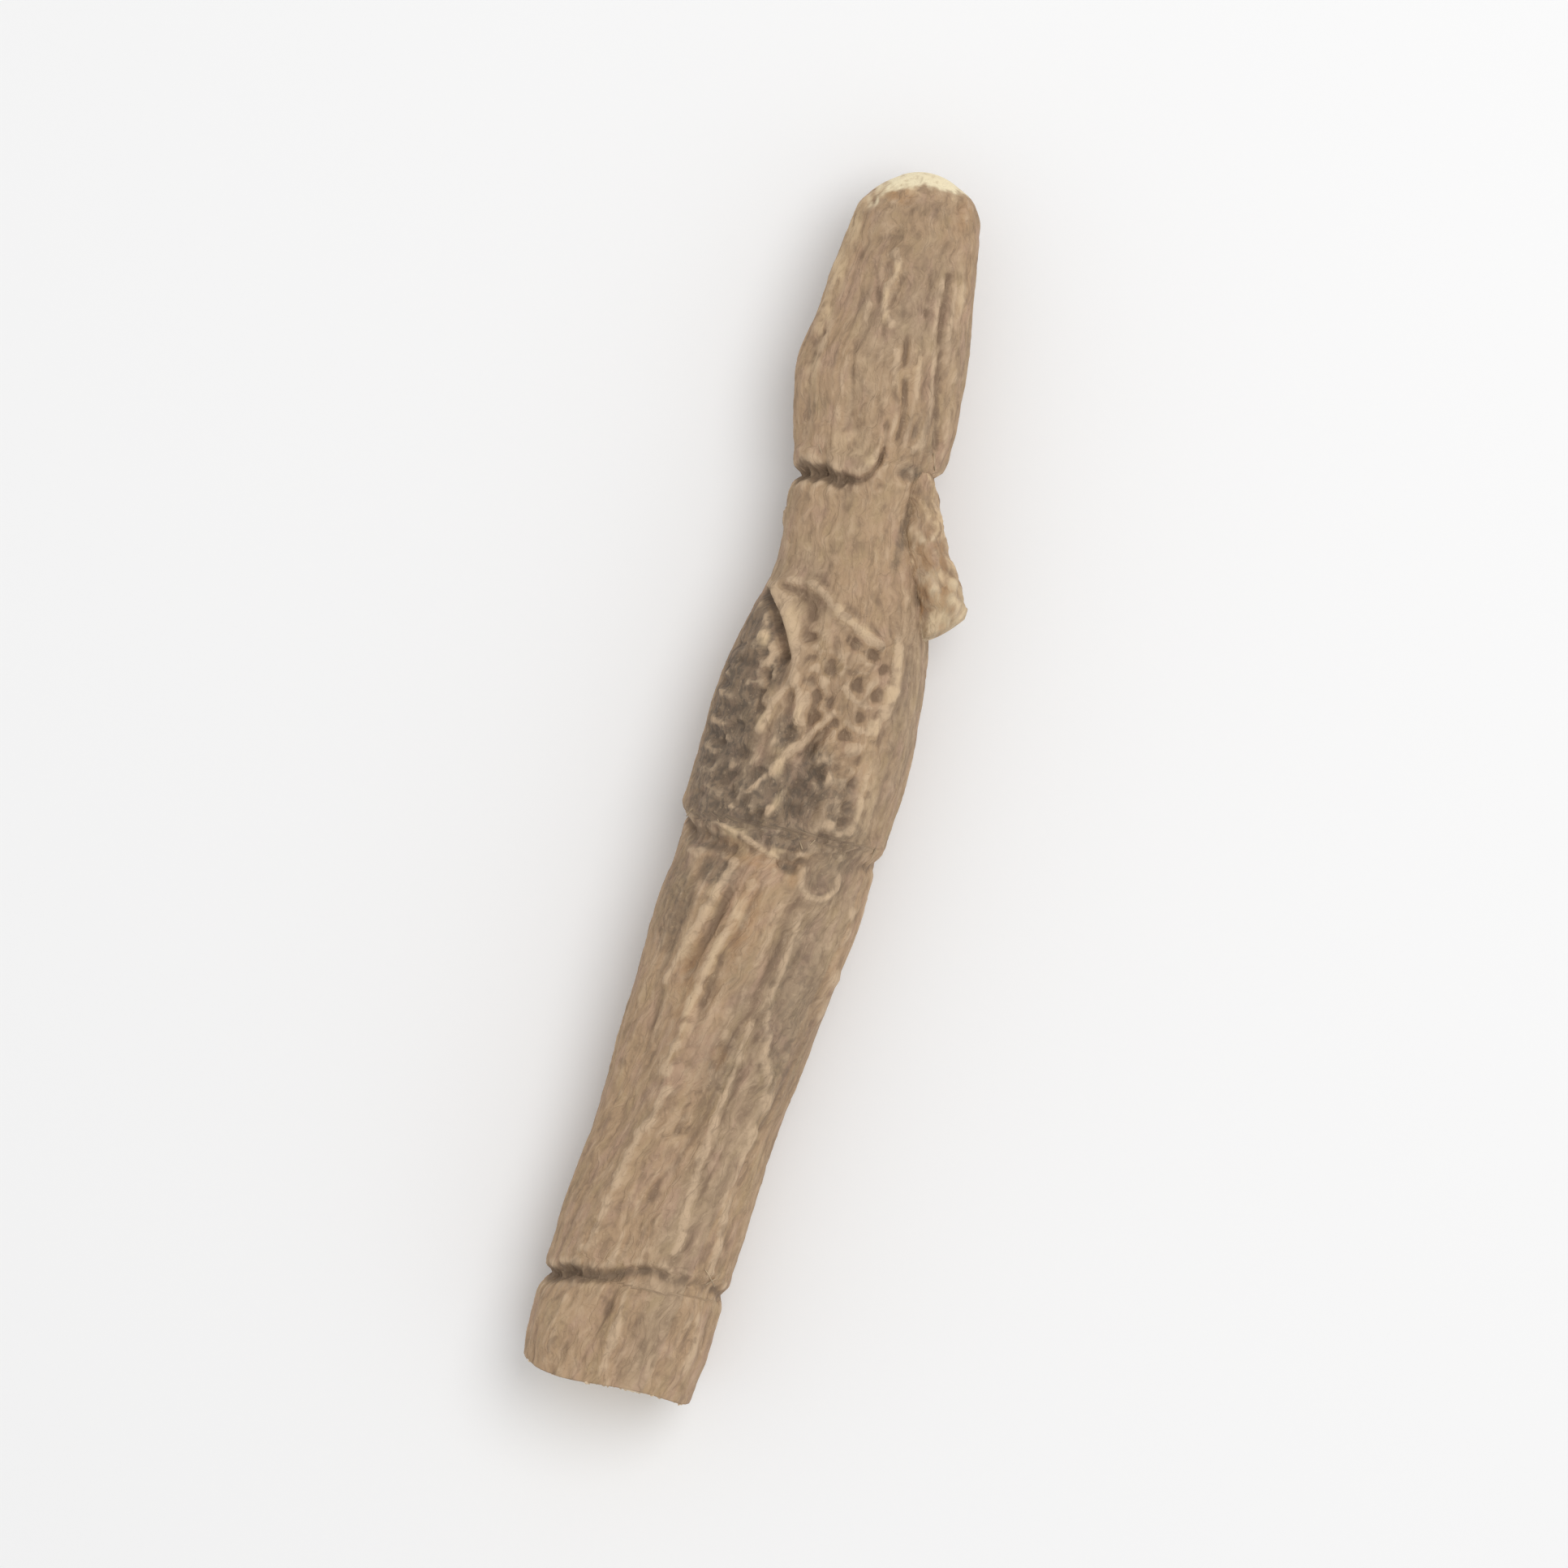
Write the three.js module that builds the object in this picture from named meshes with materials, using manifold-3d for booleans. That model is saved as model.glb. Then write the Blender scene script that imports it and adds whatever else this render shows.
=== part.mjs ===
// Dried rhizome of sweet flag, lying on its belly. Millimetres, +Z up.
//
// It is one piece that grew as one: a creeping stem with three node rings, a leaf scar with raised
// rims and pits, rows of root scars, a bud on its right flank, and an end face at each end.
//
// A place on it is given by "along", from the rounded top end at +X to the snapped end at -X,
// "across", towards -Y, and "turn", the angle round the stem: 0 at the -Y side, a quarter turn on top.
import * as THREE from "three";
import { mergeVertices } from "three/addons/utils/BufferGeometryUtils.js";
import Module from "manifold-3d";

const wasm = await Module();
wasm.setup();

// The point of the stem that stands over the origin.
const MIDDLE_ALONG = 41.6;
const MIDDLE_ACROSS = -0.962;

// Sections from the top end down: how far along, centre across, width, thickness, centre height.
const SECTIONS = [
  [0.0, 0.6, 3.4, 2.8, 6.25],
  [0.8, 0.7, 5.9, 4.9, 6.3],
  [2.0, 0.5, 7.7, 6.6, 6.3],
  [2.9, 0.4, 8.3, 7.3, 6.3],
  [4.2, 0.4, 8.7, 7.8, 6.3],
  [6.7, 0.3, 9.5, 8.5, 6.25],
  [10.0, 0.2, 10.3, 9.1, 6.2],
  [13.4, -0.05, 11.2, 9.5, 6.1],
  [16.4, 0.15, 11.0, 9.4, 6.0],
  [18.3, 0.25, 10.4, 8.9, 5.95],
  [20.2, 0.3, 9.5, 8.3, 5.9],
  [23.3, 0.4, 9.6, 8.8, 5.8],
  [27.2, 0.8, 10.4, 9.6, 5.7],
  [31.0, 0.65, 12.3, 10.8, 5.65],
  [35.5, 0.25, 13.7, 11.7, 5.65],
  [40.0, 0.0, 14.0, 12.0, 5.7],
  [44.0, -0.4, 13.8, 11.8, 5.75],
  [46.2, -0.5, 13.0, 11.2, 5.85],
  [50.5, -1.05, 13.4, 11.5, 5.9],
  [57.1, -1.9, 12.7, 11.1, 5.8],
  [65.1, -2.9, 12.0, 10.6, 5.3],
  [72.0, -3.8, 12.4, 10.8, 5.1],
  [76.4, -4.2, 12.0, 10.5, 5.05],
  [80.0, -4.55, 12.3, 10.7, 5.05],
  [83.6, -4.8, 11.4, 10.0, 5.1],
];
const STEM_END = 82.87;
const [ACROSS, WIDTH, THICK, HEIGHT] = [1, 2, 3, 4];

// Node rings: place along, how the ring leans from side to side and from belly to top, the turn of
// its wave, height of the torn rim above it and depth of the crack below that rim.
const RINGS = [
  { along: 20.2, side: -0.5, top: 0.5, wave: 4.4, rim: 0.24, crack: 0.85 },
  { along: 45.1, side: 0.1, top: 1.3, wave: 1.1, rim: 0.14, crack: 0.6 },
  { along: 76.2, side: -0.5, top: -0.7, wave: 0.8, rim: 0.26, crack: 0.6 },
];
// Where a ring has healed over: half length, half width, and how much of it is gone.
const HEALED = [
  { along: 20.4, across: 2.9, long: 2.6, wide: 2.3, strength: 0.9 },
  { along: 46.8, across: -1.9, long: 2.0, wide: 2.4, strength: 0.85 },
  { along: 45.6, across: 3.4, long: 2.4, wide: 2.4, strength: 0.8 },
  { along: 20.8, across: 0.7, long: 2.4, wide: 2.0, strength: 0.75 },
  { along: 46.2, across: -5.0, long: 2.0, wide: 2.6, strength: 0.75 },
];
const RING_REACH = 6.5; // stretch on each side of a ring over which the rows of the skin lean with it

// The snapped end is slanted and wavy: how far, towards which turn, and over which stretch.
const SNAP = { slant: 0.6, turn: 0.9, wave: 0.25, reach: 4 };
// From the middle ring on the columns of the skin turn with its wrinkles, in radians a millimetre.
const TWIST = { from: 46, rate: 0.02 };

// Internodes: from, to, how many furrows and ridges each has, their height and their lean.
const INTERNODES = [
  { from: 1.5, to: 19.4, strokes: 36, height: 0.26, lean: 0.0 },
  { from: 21.2, to: 44.0, strokes: 40, height: 0.28, lean: 0.03 },
  { from: 46.6, to: 75.4, strokes: 64, height: 0.24, lean: -0.14 },
  { from: 77.0, to: 83.4, strokes: 30, height: 0.32, lean: -0.05 },
];
const STROKE_SEED = 4181;

// Raised (+) and sunk (-) lines on the upper side: height, half width, and points along, across.
const TOP_LINES = [
  // the leaf scar: its left rim with two legs and the crevice beside it, then its upper and right rims
  { height: 0.34, reach: 0.75, path: [[29.3, -3.5], [30.3, -2.8], [31.6, -2.1], [32.8, -1.8]] },
  { height: 0.3, reach: 0.45, path: [[28.8, -4.2], [30.0, -3.3], [31.5, -2.4], [34.4, -1.7]] },
  { height: 0.42, reach: 0.45, path: [[34.4, -1.7], [36.3, -2.7], [38.3, -3.4]] },
  { height: 0.36, reach: 0.42, path: [[34.8, -1.5], [36.2, -1.0], [37.3, -0.9]] },
  { height: -0.65, reach: 0.45, path: [[29.4, -4.6], [31.3, -3.5], [33.2, -2.7]] },
  { height: -0.3, reach: 0.6, path: [[33.4, -2.7], [35.0, -3.2]] },
  {
    height: 0.42,
    reach: 0.42,
    path: [[28.4, -3.8], [28.1, -2.6], [28.2, -1.6], [29.8, 0.7], [31.4, 3.5]],
  },
  { height: 0.24, reach: 0.6, path: [[30.8, 4.5], [34.0, 4.85], [36.2, 4.3], [38.6, 3.0]] },
  // the slanting ridge across it and a shorter one
  { height: 0.4, reach: 0.45, path: [[36.4, 1.4], [37.5, 0.4], [39.3, -0.8], [40.8, -1.8]] },
  { height: 0.28, reach: 0.42, path: [[41.4, -2.3], [42.2, -2.9], [43.8, -4.2]] },
  { height: 0.28, reach: 0.42, path: [[42.2, -0.9], [43.6, -1.7]] },
  // the lip of the middle ring and the folds under it
  { height: 0.34, reach: 0.42, path: [[45.0, -4.8], [45.5, -3.0], [46.4, -0.6], [46.0, 1.0]] },
  { height: -0.3, reach: 0.42, path: [[45.9, -5.2], [46.4, -3.6]] },
  { height: -0.28, reach: 0.42, path: [[46.9, -0.2], [47.1, 0.8]] },
  // the first internode: a crooked strand with its hollow, and the grooves along it
  { height: 0.28, reach: 0.42, path: [[5.4, -0.5], [7.2, -0.4], [8.5, -0.75], [10.3, 0.0]] },
  { height: -0.1, reach: 0.42, path: [[6.1, -0.8], [7.8, -1.2], [9.4, -1.25]] },
  { height: -0.2, reach: 0.42, path: [[6.5, 3.4], [9.5, 3.5], [13.5, 4.05], [17.5, 4.6]] },
  { height: -0.2, reach: 0.42, path: [[10.8, 1.3], [14.2, 1.8], [17.6, 2.0]] },
  { height: -0.2, reach: 0.45, path: [[11.5, -4.4], [14.0, -5.0], [18.8, -4.3]] },
  // the hooked end of the crack, which runs up the first internode
  {
    height: -0.4,
    reach: 0.42,
    path: [[20.8, -1.0], [20.8, 0.0], [20.2, 0.7], [18.7, 1.3], [16.7, 1.25]],
  },
  // the third internode: low ridges that slant across it
  { height: 0.32, reach: 0.5, path: [[47.4, -3.0], [50.5, -4.3], [53.4, -5.3], [56.0, -6.2]] },
  { height: 0.42, reach: 0.55, path: [[48.6, -1.8], [51.5, -2.6], [55.0, -3.6], [62.0, -4.8]] },
  { height: -0.3, reach: 0.5, path: [[49.5, -3.0], [52.6, -4.0], [55.4, -4.9]] },
  { height: 0.28, reach: 0.5, path: [[50.0, 1.8], [53.5, 1.5], [56.5, 1.0], [60.0, 1.4], [63.0, 2.0]] },
  { height: 0.26, reach: 0.45, path: [[49.0, 5.2], [52.5, 4.8], [56.5, 4.3]] },
  { height: 0.34, reach: 0.5, path: [[58.0, 0.2], [63.0, -0.9], [68.5, -1.6], [73.5, -1.9]] },
  { height: -0.32, reach: 0.5, path: [[59.5, -1.6], [64.5, -3.0], [70.5, -4.4]] },
  { height: 0.36, reach: 0.5, path: [[63.0, -4.6], [66.0, -5.5], [70.0, -6.6], [74.5, -7.6]] },
  { height: 0.3, reach: 0.45, path: [[65.0, 1.6], [69.0, 0.9], [74.5, 0.6]] },
  { height: 0.26, reach: 0.45, path: [[66.5, -3.4], [71.0, -4.9], [75.0, -5.9]] },
];

// Pits of the leaf scar: along, across, radius, depth.
const PITS = [
  [31.7, -1.3, 0.6, 0.3], [33.0, -0.7, 0.6, 0.3], [33.3, 0.6, 0.8, 0.42], [31.6, 1.8, 0.6, 0.28],
  [32.1, 3.1, 0.6, 0.32], [34.1, 2.7, 0.65, 0.36], [34.6, 4.2, 0.65, 0.34], [34.6, -0.6, 0.65, 0.3],
  [35.6, 0.1, 0.6, 0.3], [36.3, 3.1, 0.6, 0.3], [37.6, 2.3, 0.6, 0.34], [38.2, -1.1, 0.7, 0.35],
  [40.4, 1.1, 0.7, 0.42], [40.1, 2.4, 0.6, 0.34], [42.3, 3.6, 0.6, 0.28], [43.3, 3.2, 0.6, 0.28],
  [44.7, 2.4, 0.7, 0.34], [43.1, 0.3, 0.6, 0.3], [41.6, 0.2, 0.7, 0.28], [32.9, -6.0, 0.6, 0.3],
  [34.0, -4.9, 0.7, 0.36], [36.0, -4.2, 0.65, 0.34], [37.4, -5.8, 0.7, 0.36], [38.5, -5.2, 0.6, 0.3],
  [40.2, -4.3, 0.65, 0.34], [42.1, -5.1, 0.7, 0.34], [41.0, -6.3, 0.6, 0.28],
];
const PIT_RIM = 0.25;
// The leaf scar as a whole lies a little lower than the skin round it.
const SCAR_SINK = [
  { along: 35.5, across: 1.4, long: 5.0, wide: 3.2, depth: 0.35 },
  { along: 38.5, across: -4.6, long: 6.5, wide: 2.2, depth: 0.6 },
  { along: 41.8, across: 0.4, long: 3.6, wide: 2.4, depth: 0.55 },
];

// Where the skin has few wrinkles: half length, half width, and how much weaker they are.
const SMOOTH = [
  { along: 4.0, across: 0.5, long: 6.0, wide: 7.0, strength: 0.6 },
  { along: 25.0, across: 0.0, long: 5.5, wide: 6.0, strength: 0.85 },
  { along: 33.5, across: 1.5, long: 6.0, wide: 4.2, strength: 0.9 },
  { along: 38.5, across: -4.8, long: 8.5, wide: 3.2, strength: 0.85 },
  { along: 41.5, across: 0.5, long: 4.6, wide: 3.4, strength: 0.85 },
  { along: 54.0, across: -1.2, long: 6.0, wide: 4.5, strength: 0.5 },
];
// Shrunken hollows all round the stem: half length, half width and depth.
const DENTS = [
  { along: 9.0, turn: 1.35, long: 4.5, wide: 2.0, depth: 0.16 },
  { along: 25.5, turn: 1.2, long: 4.0, wide: 3.0, depth: 0.2 },
  { along: 55.0, turn: 1.15, long: 10.0, wide: 2.4, depth: 0.3 },
  { along: 66.5, turn: 2.25, long: 9.0, wide: 2.4, depth: 0.3 },
  { along: 69.5, turn: 0.75, long: 6.5, wide: 2.0, depth: 0.3 },
  { along: 60.0, turn: 5.5, long: 9.0, wide: 2.2, depth: 0.6 },
  { along: 33.0, turn: 5.6, long: 8.0, wide: 2.4, depth: 0.5 },
  { along: 14.0, turn: 4.1, long: 6.5, wide: 1.8, depth: 0.4 },
  { along: 80.5, turn: 1.5, long: 3.5, wide: 2.2, depth: 0.4 },
];

// Round root scars with a rim and a pit: along, turn, radius.
const TOP_SCAR = { along: 47.35, turn: 1.03, radius: 1.55 };
const SCAR_RADIUS = 0.9;
const SCAR_ROWS = [
  { from: 6.0, to: 17.0, step: 5.2 },
  { from: 24.0, to: 42.0, step: 4.7 },
  { from: 50.0, to: 73.5, step: 5.3 },
];
const UNDERSIDE = 1.5 * Math.PI;
const SCAR_TURNS = [UNDERSIDE - 0.95, UNDERSIDE + 0.85];
const SCAR_SIDES = 8;

// Side bud: along, across, height above the stem's centre, radius. It ends in a blunt broken tip.
const BUD = [
  [19.4, 3.9, 1.9, 0.8],
  [20.6, 4.1, 2.05, 1.1],
  [22.4, 4.5, 2.0, 1.3],
  [24.9, 5.3, 1.8, 1.42],
  [27.3, 6.6, 1.4, 1.55],
  [28.8, 7.14, 1.1, 1.45],
  [29.55, 7.24, 0.95, 1.4],
];
const BUD_COLUMNS = 14;
const BUD_ROWS = 14;
const BUD_LUMP = 0.07;
const BUD_DEPTH = 1.15; // how much taller than wide the bud is
const BUD_SLANT = 0.75; // how much sooner the bud ends on its outer side

const COLUMNS = 42;
const TOP_CROWDING = 0.22; // how much closer the columns stand on top than at the sides
const TOP_END_DOME = 0.4; // how far the top end face bulges
const SNAPPED_END_HOLLOW = 0.32;
// The block that trims the belly flat, where the root rests.
const FLOOR = { long: 120, wide: 40, deep: 20 };
// How far apart the rows of the skin stand.
const ROW_STEPS = { ring: 0.42, topEnd: 0.5, leafScar: 0.78, plain: 1.65 };
const MERGE = 1e-4;

const ROOT_COLOUR = 0xa78e74;

// The same numbers from 0 to 1 on every run.
function seeded(seed) {
  let state = seed;
  return () => {
    state = (state + 0x6d2b79f5) | 0;
    let t = Math.imul(state ^ (state >>> 15), state | 1);
    t = (t + Math.imul(t ^ (t >>> 7), t | 61)) ^ t;
    return ((t ^ (t >>> 14)) >>> 0) / 4294967296;
  };
}

// A hump from 1 at 0 to nothing at 1 and beyond.
function hump(distance) {
  const inside = Math.max(0, 1 - distance * distance);
  return inside * inside;
}

function bell(distance) {
  return Math.exp(-distance * distance);
}

function smoothstep(low, high, value) {
  const t = Math.min(1, Math.max(0, (value - low) / (high - low)));
  return t * t * (3 - 2 * t);
}

// A smooth curve through one column of a table whose first column is the place along.
function through(table, column, along) {
  const last = table.length - 1;
  let i = 0;
  while (i < last - 1 && along > table[i + 1][0]) i += 1;
  const slope = (k) => {
    const before = table[Math.max(k - 1, 0)];
    const after = table[Math.min(k + 1, last)];
    return (after[column] - before[column]) / (after[0] - before[0]);
  };
  const [low, high] = [table[i], table[i + 1]];
  const span = high[0] - low[0];
  const t = (along - low[0]) / span;
  const rise = high[column] - low[column];
  const bend = (1 - t) * (slope(i) * span - rise) + t * (rise - slope(i + 1) * span);
  return low[column] + t * rise + t * (1 - t) * bend;
}

function ringShift(ring, turn) {
  const wave = 0.22 * Math.sin(3 * turn + ring.wave) + 0.12 * Math.sin(7 * turn);
  return ring.side * Math.cos(turn) + ring.top * Math.sin(turn) + wave;
}

// Rows near a ring lean with it, so that its rim and crack follow one row of the skin.
function leanWithRings(place, turn) {
  let along = place;
  for (const ring of RINGS) {
    along += ringShift(ring, turn) * hump((place - ring.along) / RING_REACH);
  }
  return along;
}

// How far the slanted, wavy snapped end stands out, for the rows near it.
function snapShift(place, turn) {
  const shift = SNAP.slant * Math.cos(turn - SNAP.turn) + SNAP.wave * Math.sin(3 * turn + 1);
  return shift * hump((STEM_END - place) / SNAP.reach);
}

// The lip of a torn rim, which rises slowly and ends sharply.
function lip(past) {
  return bell(past / (past < 0 ? 1.1 : 0.32));
}

// How much of the rings is left: less where they healed over.
function ringsLeft(along, across, turn) {
  let left = 1;
  for (const patch of HEALED) {
    const away = Math.hypot((along - patch.along) / patch.long, (across - patch.across) / patch.wide);
    left *= 1 - patch.strength * hump(away) * onTop(turn);
  }
  return left;
}

// Rim, crack and shoulder of the rings, weaker towards -Y. "place" is the row's place before it leans.
function ringRelief(place, turn) {
  let relief = 0;
  for (const ring of RINGS) {
    const past = place - ring.along;
    const ragged = 0.16 * Math.sin(3 * turn + ring.along) + 0.1 * Math.sin(5 * turn + 1);
    const uneven = 0.66 - 0.4 * Math.cos(turn) + ragged;
    relief += ring.rim * uneven * lip(past + 0.45);
    relief -= ring.crack * uneven * bell((past - 0.15) / 0.42);
    relief += 0.25 * ring.rim * bell((past - 1.5) / 0.8);
  }
  return relief;
}

function makeStrokes() {
  const random = seeded(STROKE_SEED);
  const strokes = [];
  for (const part of INTERNODES) {
    for (let i = 0; i < part.strokes; i += 1) {
      const span = part.to - part.from;
      const middle = part.from + span * (0.08 + 0.84 * random());
      const length = span * (0.2 + 0.4 * random());
      const turn = 2 * Math.PI * random();
      const width = 0.5 + 0.55 * random();
      const sign = random() < 0.55 ? -1 : 1;
      const height = sign * part.height * (0.45 + 0.75 * random());
      const lean = part.lean + 0.08 * (random() - 0.5);
      strokes.push({ middle, length, turn, width, height, lean });
    }
  }
  return strokes;
}

function angleBetween(one, other) {
  return Math.atan2(Math.sin(one - other), Math.cos(one - other));
}

function onTop(turn) {
  return smoothstep(-0.1, 0.3, Math.sin(turn));
}

// Lengthwise furrows and ridges, which leave each internode at its rings.
function strokeRelief(strokes, along, turn, radius) {
  let relief = 0;
  for (const stroke of strokes) {
    const past = along - stroke.middle;
    const ending = hump(past / stroke.length);
    if (ending === 0) continue;
    const here = stroke.turn - (stroke.lean * past) / radius;
    const apart = angleBetween(turn, here) * radius;
    relief += stroke.height * ending * bell(apart / stroke.width);
  }
  return relief;
}

// How much of the wrinkles shows: less on the flanks, the smooth stretches and the leaf scar.
function lineStrength(along, across, turn) {
  let shown = 0.5 + 0.5 * Math.sin(turn) ** 2;
  for (const patch of SMOOTH) {
    const away = Math.hypot((along - patch.along) / patch.long, (across - patch.across) / patch.wide);
    shown *= 1 - patch.strength * hump(away) * onTop(turn);
  }
  return shown;
}

function dentRelief(along, turn, radius) {
  let relief = 0;
  for (const dent of DENTS) {
    const apart = angleBetween(turn, dent.turn) * radius;
    relief -= dent.depth * hump(Math.hypot((along - dent.along) / dent.long, apart / dent.wide));
  }
  return relief;
}

// Distance from a point to a line of points along, across.
function distanceTo(path, along, across) {
  let nearest = Infinity;
  for (let i = 1; i < path.length; i += 1) {
    const [a, b] = [path[i - 1], path[i]];
    const [dx, dy] = [b[0] - a[0], b[1] - a[1]];
    const share = ((along - a[0]) * dx + (across - a[1]) * dy) / (dx * dx + dy * dy);
    const t = Math.min(1, Math.max(0, share));
    nearest = Math.min(nearest, Math.hypot(along - a[0] - t * dx, across - a[1] - t * dy));
  }
  return nearest;
}

// What lies on the upper side only: the leaf scar, its rims and pits, and the crooked lines.
function topRelief(along, across, turn) {
  if (onTop(turn) === 0) return 0;
  let relief = 0;
  for (const line of TOP_LINES) {
    relief += line.height * bell(distanceTo(line.path, along, across) / line.reach);
  }
  for (const sink of SCAR_SINK) {
    const away = Math.hypot((along - sink.along) / sink.long, (across - sink.across) / sink.wide);
    relief -= sink.depth * hump(away);
  }
  for (const [at, side, radius, depth] of PITS) {
    const away = Math.hypot(along - at, across - side) / radius;
    relief += depth * (PIT_RIM * bell((away - 1.1) / 0.4) - hump(away));
  }
  return relief * onTop(turn);
}

// Slow swellings of the section, which leave the outline seen from above as measured.
function lumps(along, turn) {
  const upright = Math.sin(turn) ** 2;
  const slow = 0.045 * Math.cos(3 * turn + 0.8 + 0.11 * along);
  const quick = 0.025 * Math.cos(5 * turn - 0.7 - 0.23 * along);
  return 1 + upright * (slow + quick);
}

const strokes = makeStrokes();

function toModel(along, across, height) {
  return new THREE.Vector3(MIDDLE_ALONG - along, MIDDLE_ACROSS - across, height);
}

// A point of the skin. "share" is 1 on the skin and falls to 0 at the middle of an end face.
function skinPoint(share, place, turn) {
  const along = leanWithRings(place, turn) + share * snapShift(place, turn);
  const halfWidth = through(SECTIONS, WIDTH, along) / 2;
  const halfThick = through(SECTIONS, THICK, along) / 2;
  const swelling = lumps(along, turn);
  const side = halfWidth * swelling * Math.cos(turn);
  const rise = halfThick * swelling * Math.sin(turn);
  const outward = new THREE.Vector2(Math.cos(turn) / halfWidth, Math.sin(turn) / halfThick).normalize();
  const radius = (halfWidth + halfThick) / 2;
  const centre = through(SECTIONS, ACROSS, along);
  const across = centre + side;
  const relief =
    smoothstep(0, 2.5, along) *
    (ringRelief(place, turn) * ringsLeft(along, across, turn) +
      strokeRelief(strokes, along, turn, radius) * lineStrength(along, across, turn) +
      dentRelief(along, turn, radius) +
      topRelief(along, across, turn));
  const depth = place > STEM_END / 2 ? SNAPPED_END_HOLLOW : TOP_END_DOME;
  const outwards = -depth * (1 - share * share);
  return toModel(
    along + outwards,
    centre + share * (side + relief * outward.x),
    through(SECTIONS, HEIGHT, along) + share * (rise + relief * outward.y),
  );
}

// Rows are close together at the rings, the leaf scar and the ends, and wide on plain stretches.
function rowStep(along) {
  const toRing = Math.min(...RINGS.map((ring) => Math.abs(along - ring.along)));
  if (toRing < 1.5) return ROW_STEPS.ring;
  if (along < 2) return ROW_STEPS.topEnd;
  if (along > 28 && along < 44) return ROW_STEPS.leafScar;
  return ROW_STEPS.plain;
}

function stemProfile() {
  const profile = [];
  for (const share of [0, 0.35, 0.7]) profile.push(new THREE.Vector2(share, 0));
  for (let along = 0; along < STEM_END - 0.5; along += rowStep(along)) {
    profile.push(new THREE.Vector2(1, along));
  }
  for (const share of [1, 0.8, 0.4, 0]) profile.push(new THREE.Vector2(share, STEM_END));
  return profile;
}

function stem() {
  const profile = stemProfile();
  const geometry = new THREE.LatheGeometry(profile, COLUMNS);
  const position = geometry.getAttribute("position");
  for (let i = 0; i < position.count; i += 1) {
    const row = profile[i % profile.length];
    const column = Math.floor(i / profile.length) % COLUMNS;
    const even = (2 * Math.PI * column) / COLUMNS;
    const twist = TWIST.rate * Math.max(0, row.y - TWIST.from);
    const point = skinPoint(row.x, row.y, even + TOP_CROWDING * Math.cos(even) + twist);
    position.setXYZ(i, point.x, point.y, point.z);
  }
  return geometry;
}

// The bud is a bent, lumpy spindle pressed to the flank, with a rough blunt tip.
function bud() {
  const profile = [new THREE.Vector2(0, 0)];
  for (let row = 0; row <= BUD_ROWS; row += 1) profile.push(new THREE.Vector2(1, row / BUD_ROWS));
  profile.push(new THREE.Vector2(0.6, 1), new THREE.Vector2(0, 1));
  const geometry = new THREE.LatheGeometry(profile, BUD_COLUMNS);
  const position = geometry.getAttribute("position");
  const [start, end] = [BUD[0][0], BUD[BUD.length - 1][0]];
  for (let i = 0; i < position.count; i += 1) {
    const row = profile[i % profile.length];
    const turn = (2 * Math.PI * (Math.floor(i / profile.length) % BUD_COLUMNS)) / BUD_COLUMNS;
    const along = start + (end - start) * row.y;
    const wobble = Math.sin(3 * turn + 2.2 * along) + Math.sin(5 * turn - 1.7 * along);
    const reach = row.x * through(BUD, 3, along) * (1 + BUD_LUMP * wobble);
    const slant = BUD_SLANT * reach * Math.cos(turn);
    const tip = row.y * (0.35 * (1 - row.x * row.x) - slant);
    const across = through(BUD, 1, along) + reach * Math.cos(turn);
    const centre = through(SECTIONS, HEIGHT, along) + through(BUD, 2, along);
    const point = toModel(along + tip, across, centre + BUD_DEPTH * reach * Math.sin(turn));
    position.setXYZ(i, point.x, point.y, point.z);
  }
  return geometry;
}

// A round root scar: a low knob with a rim and a shallow pit, standing square on the skin.
function rootScar(along, turn, radius, sides) {
  const profile = [
    [0, -0.8],
    [0.95, -0.8],
    [1.0, 0.25],
    [0.68, 0.36],
    [0, 0.06],
  ].map(([out, up]) => new THREE.Vector2(out * radius, up));
  const knob = new THREE.LatheGeometry(profile, sides);
  const seat = skinPoint(1, along, turn);
  const alongSide = skinPoint(1, along + 0.8, turn).sub(skinPoint(1, along - 0.8, turn));
  const roundSide = skinPoint(1, along, turn + 0.15).sub(skinPoint(1, along, turn - 0.15));
  const out = new THREE.Vector3().crossVectors(roundSide, alongSide).normalize();
  if (out.dot(seat.clone().sub(stemCentre(along))) < 0) out.negate();
  const upright = new THREE.Quaternion().setFromUnitVectors(new THREE.Vector3(0, 1, 0), out);
  knob.applyQuaternion(upright);
  knob.translate(seat.x, seat.y, seat.z);
  return knob;
}

function stemCentre(along) {
  return toModel(along, through(SECTIONS, ACROSS, along), through(SECTIONS, HEIGHT, along));
}

// Root scars stand in two zigzag rows, left and right of the line the root rests on.
function rootScars() {
  const scars = [rootScar(TOP_SCAR.along, TOP_SCAR.turn, TOP_SCAR.radius, 2 * SCAR_SIDES)];
  for (const row of SCAR_ROWS) {
    SCAR_TURNS.forEach((turn, side) => {
      for (let along = row.from + (side * row.step) / 2; along < row.to; along += row.step) {
        const wander = 0.18 * Math.sin(2.3 * along + 4 * side);
        const radius = SCAR_RADIUS * (0.9 + 0.2 * Math.sin(5 * along));
        scars.push(rootScar(along, turn + wander, radius, SCAR_SIDES));
      }
    });
  }
  return scars;
}

function solidOf(geometry) {
  geometry.deleteAttribute("normal");
  geometry.deleteAttribute("uv");
  const merged = mergeVertices(geometry, MERGE);
  return new wasm.Manifold(
    new wasm.Mesh({
      numProp: 3,
      vertProperties: merged.getAttribute("position").array,
      triVerts: new Uint32Array(merged.index.array),
    }),
  );
}

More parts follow.
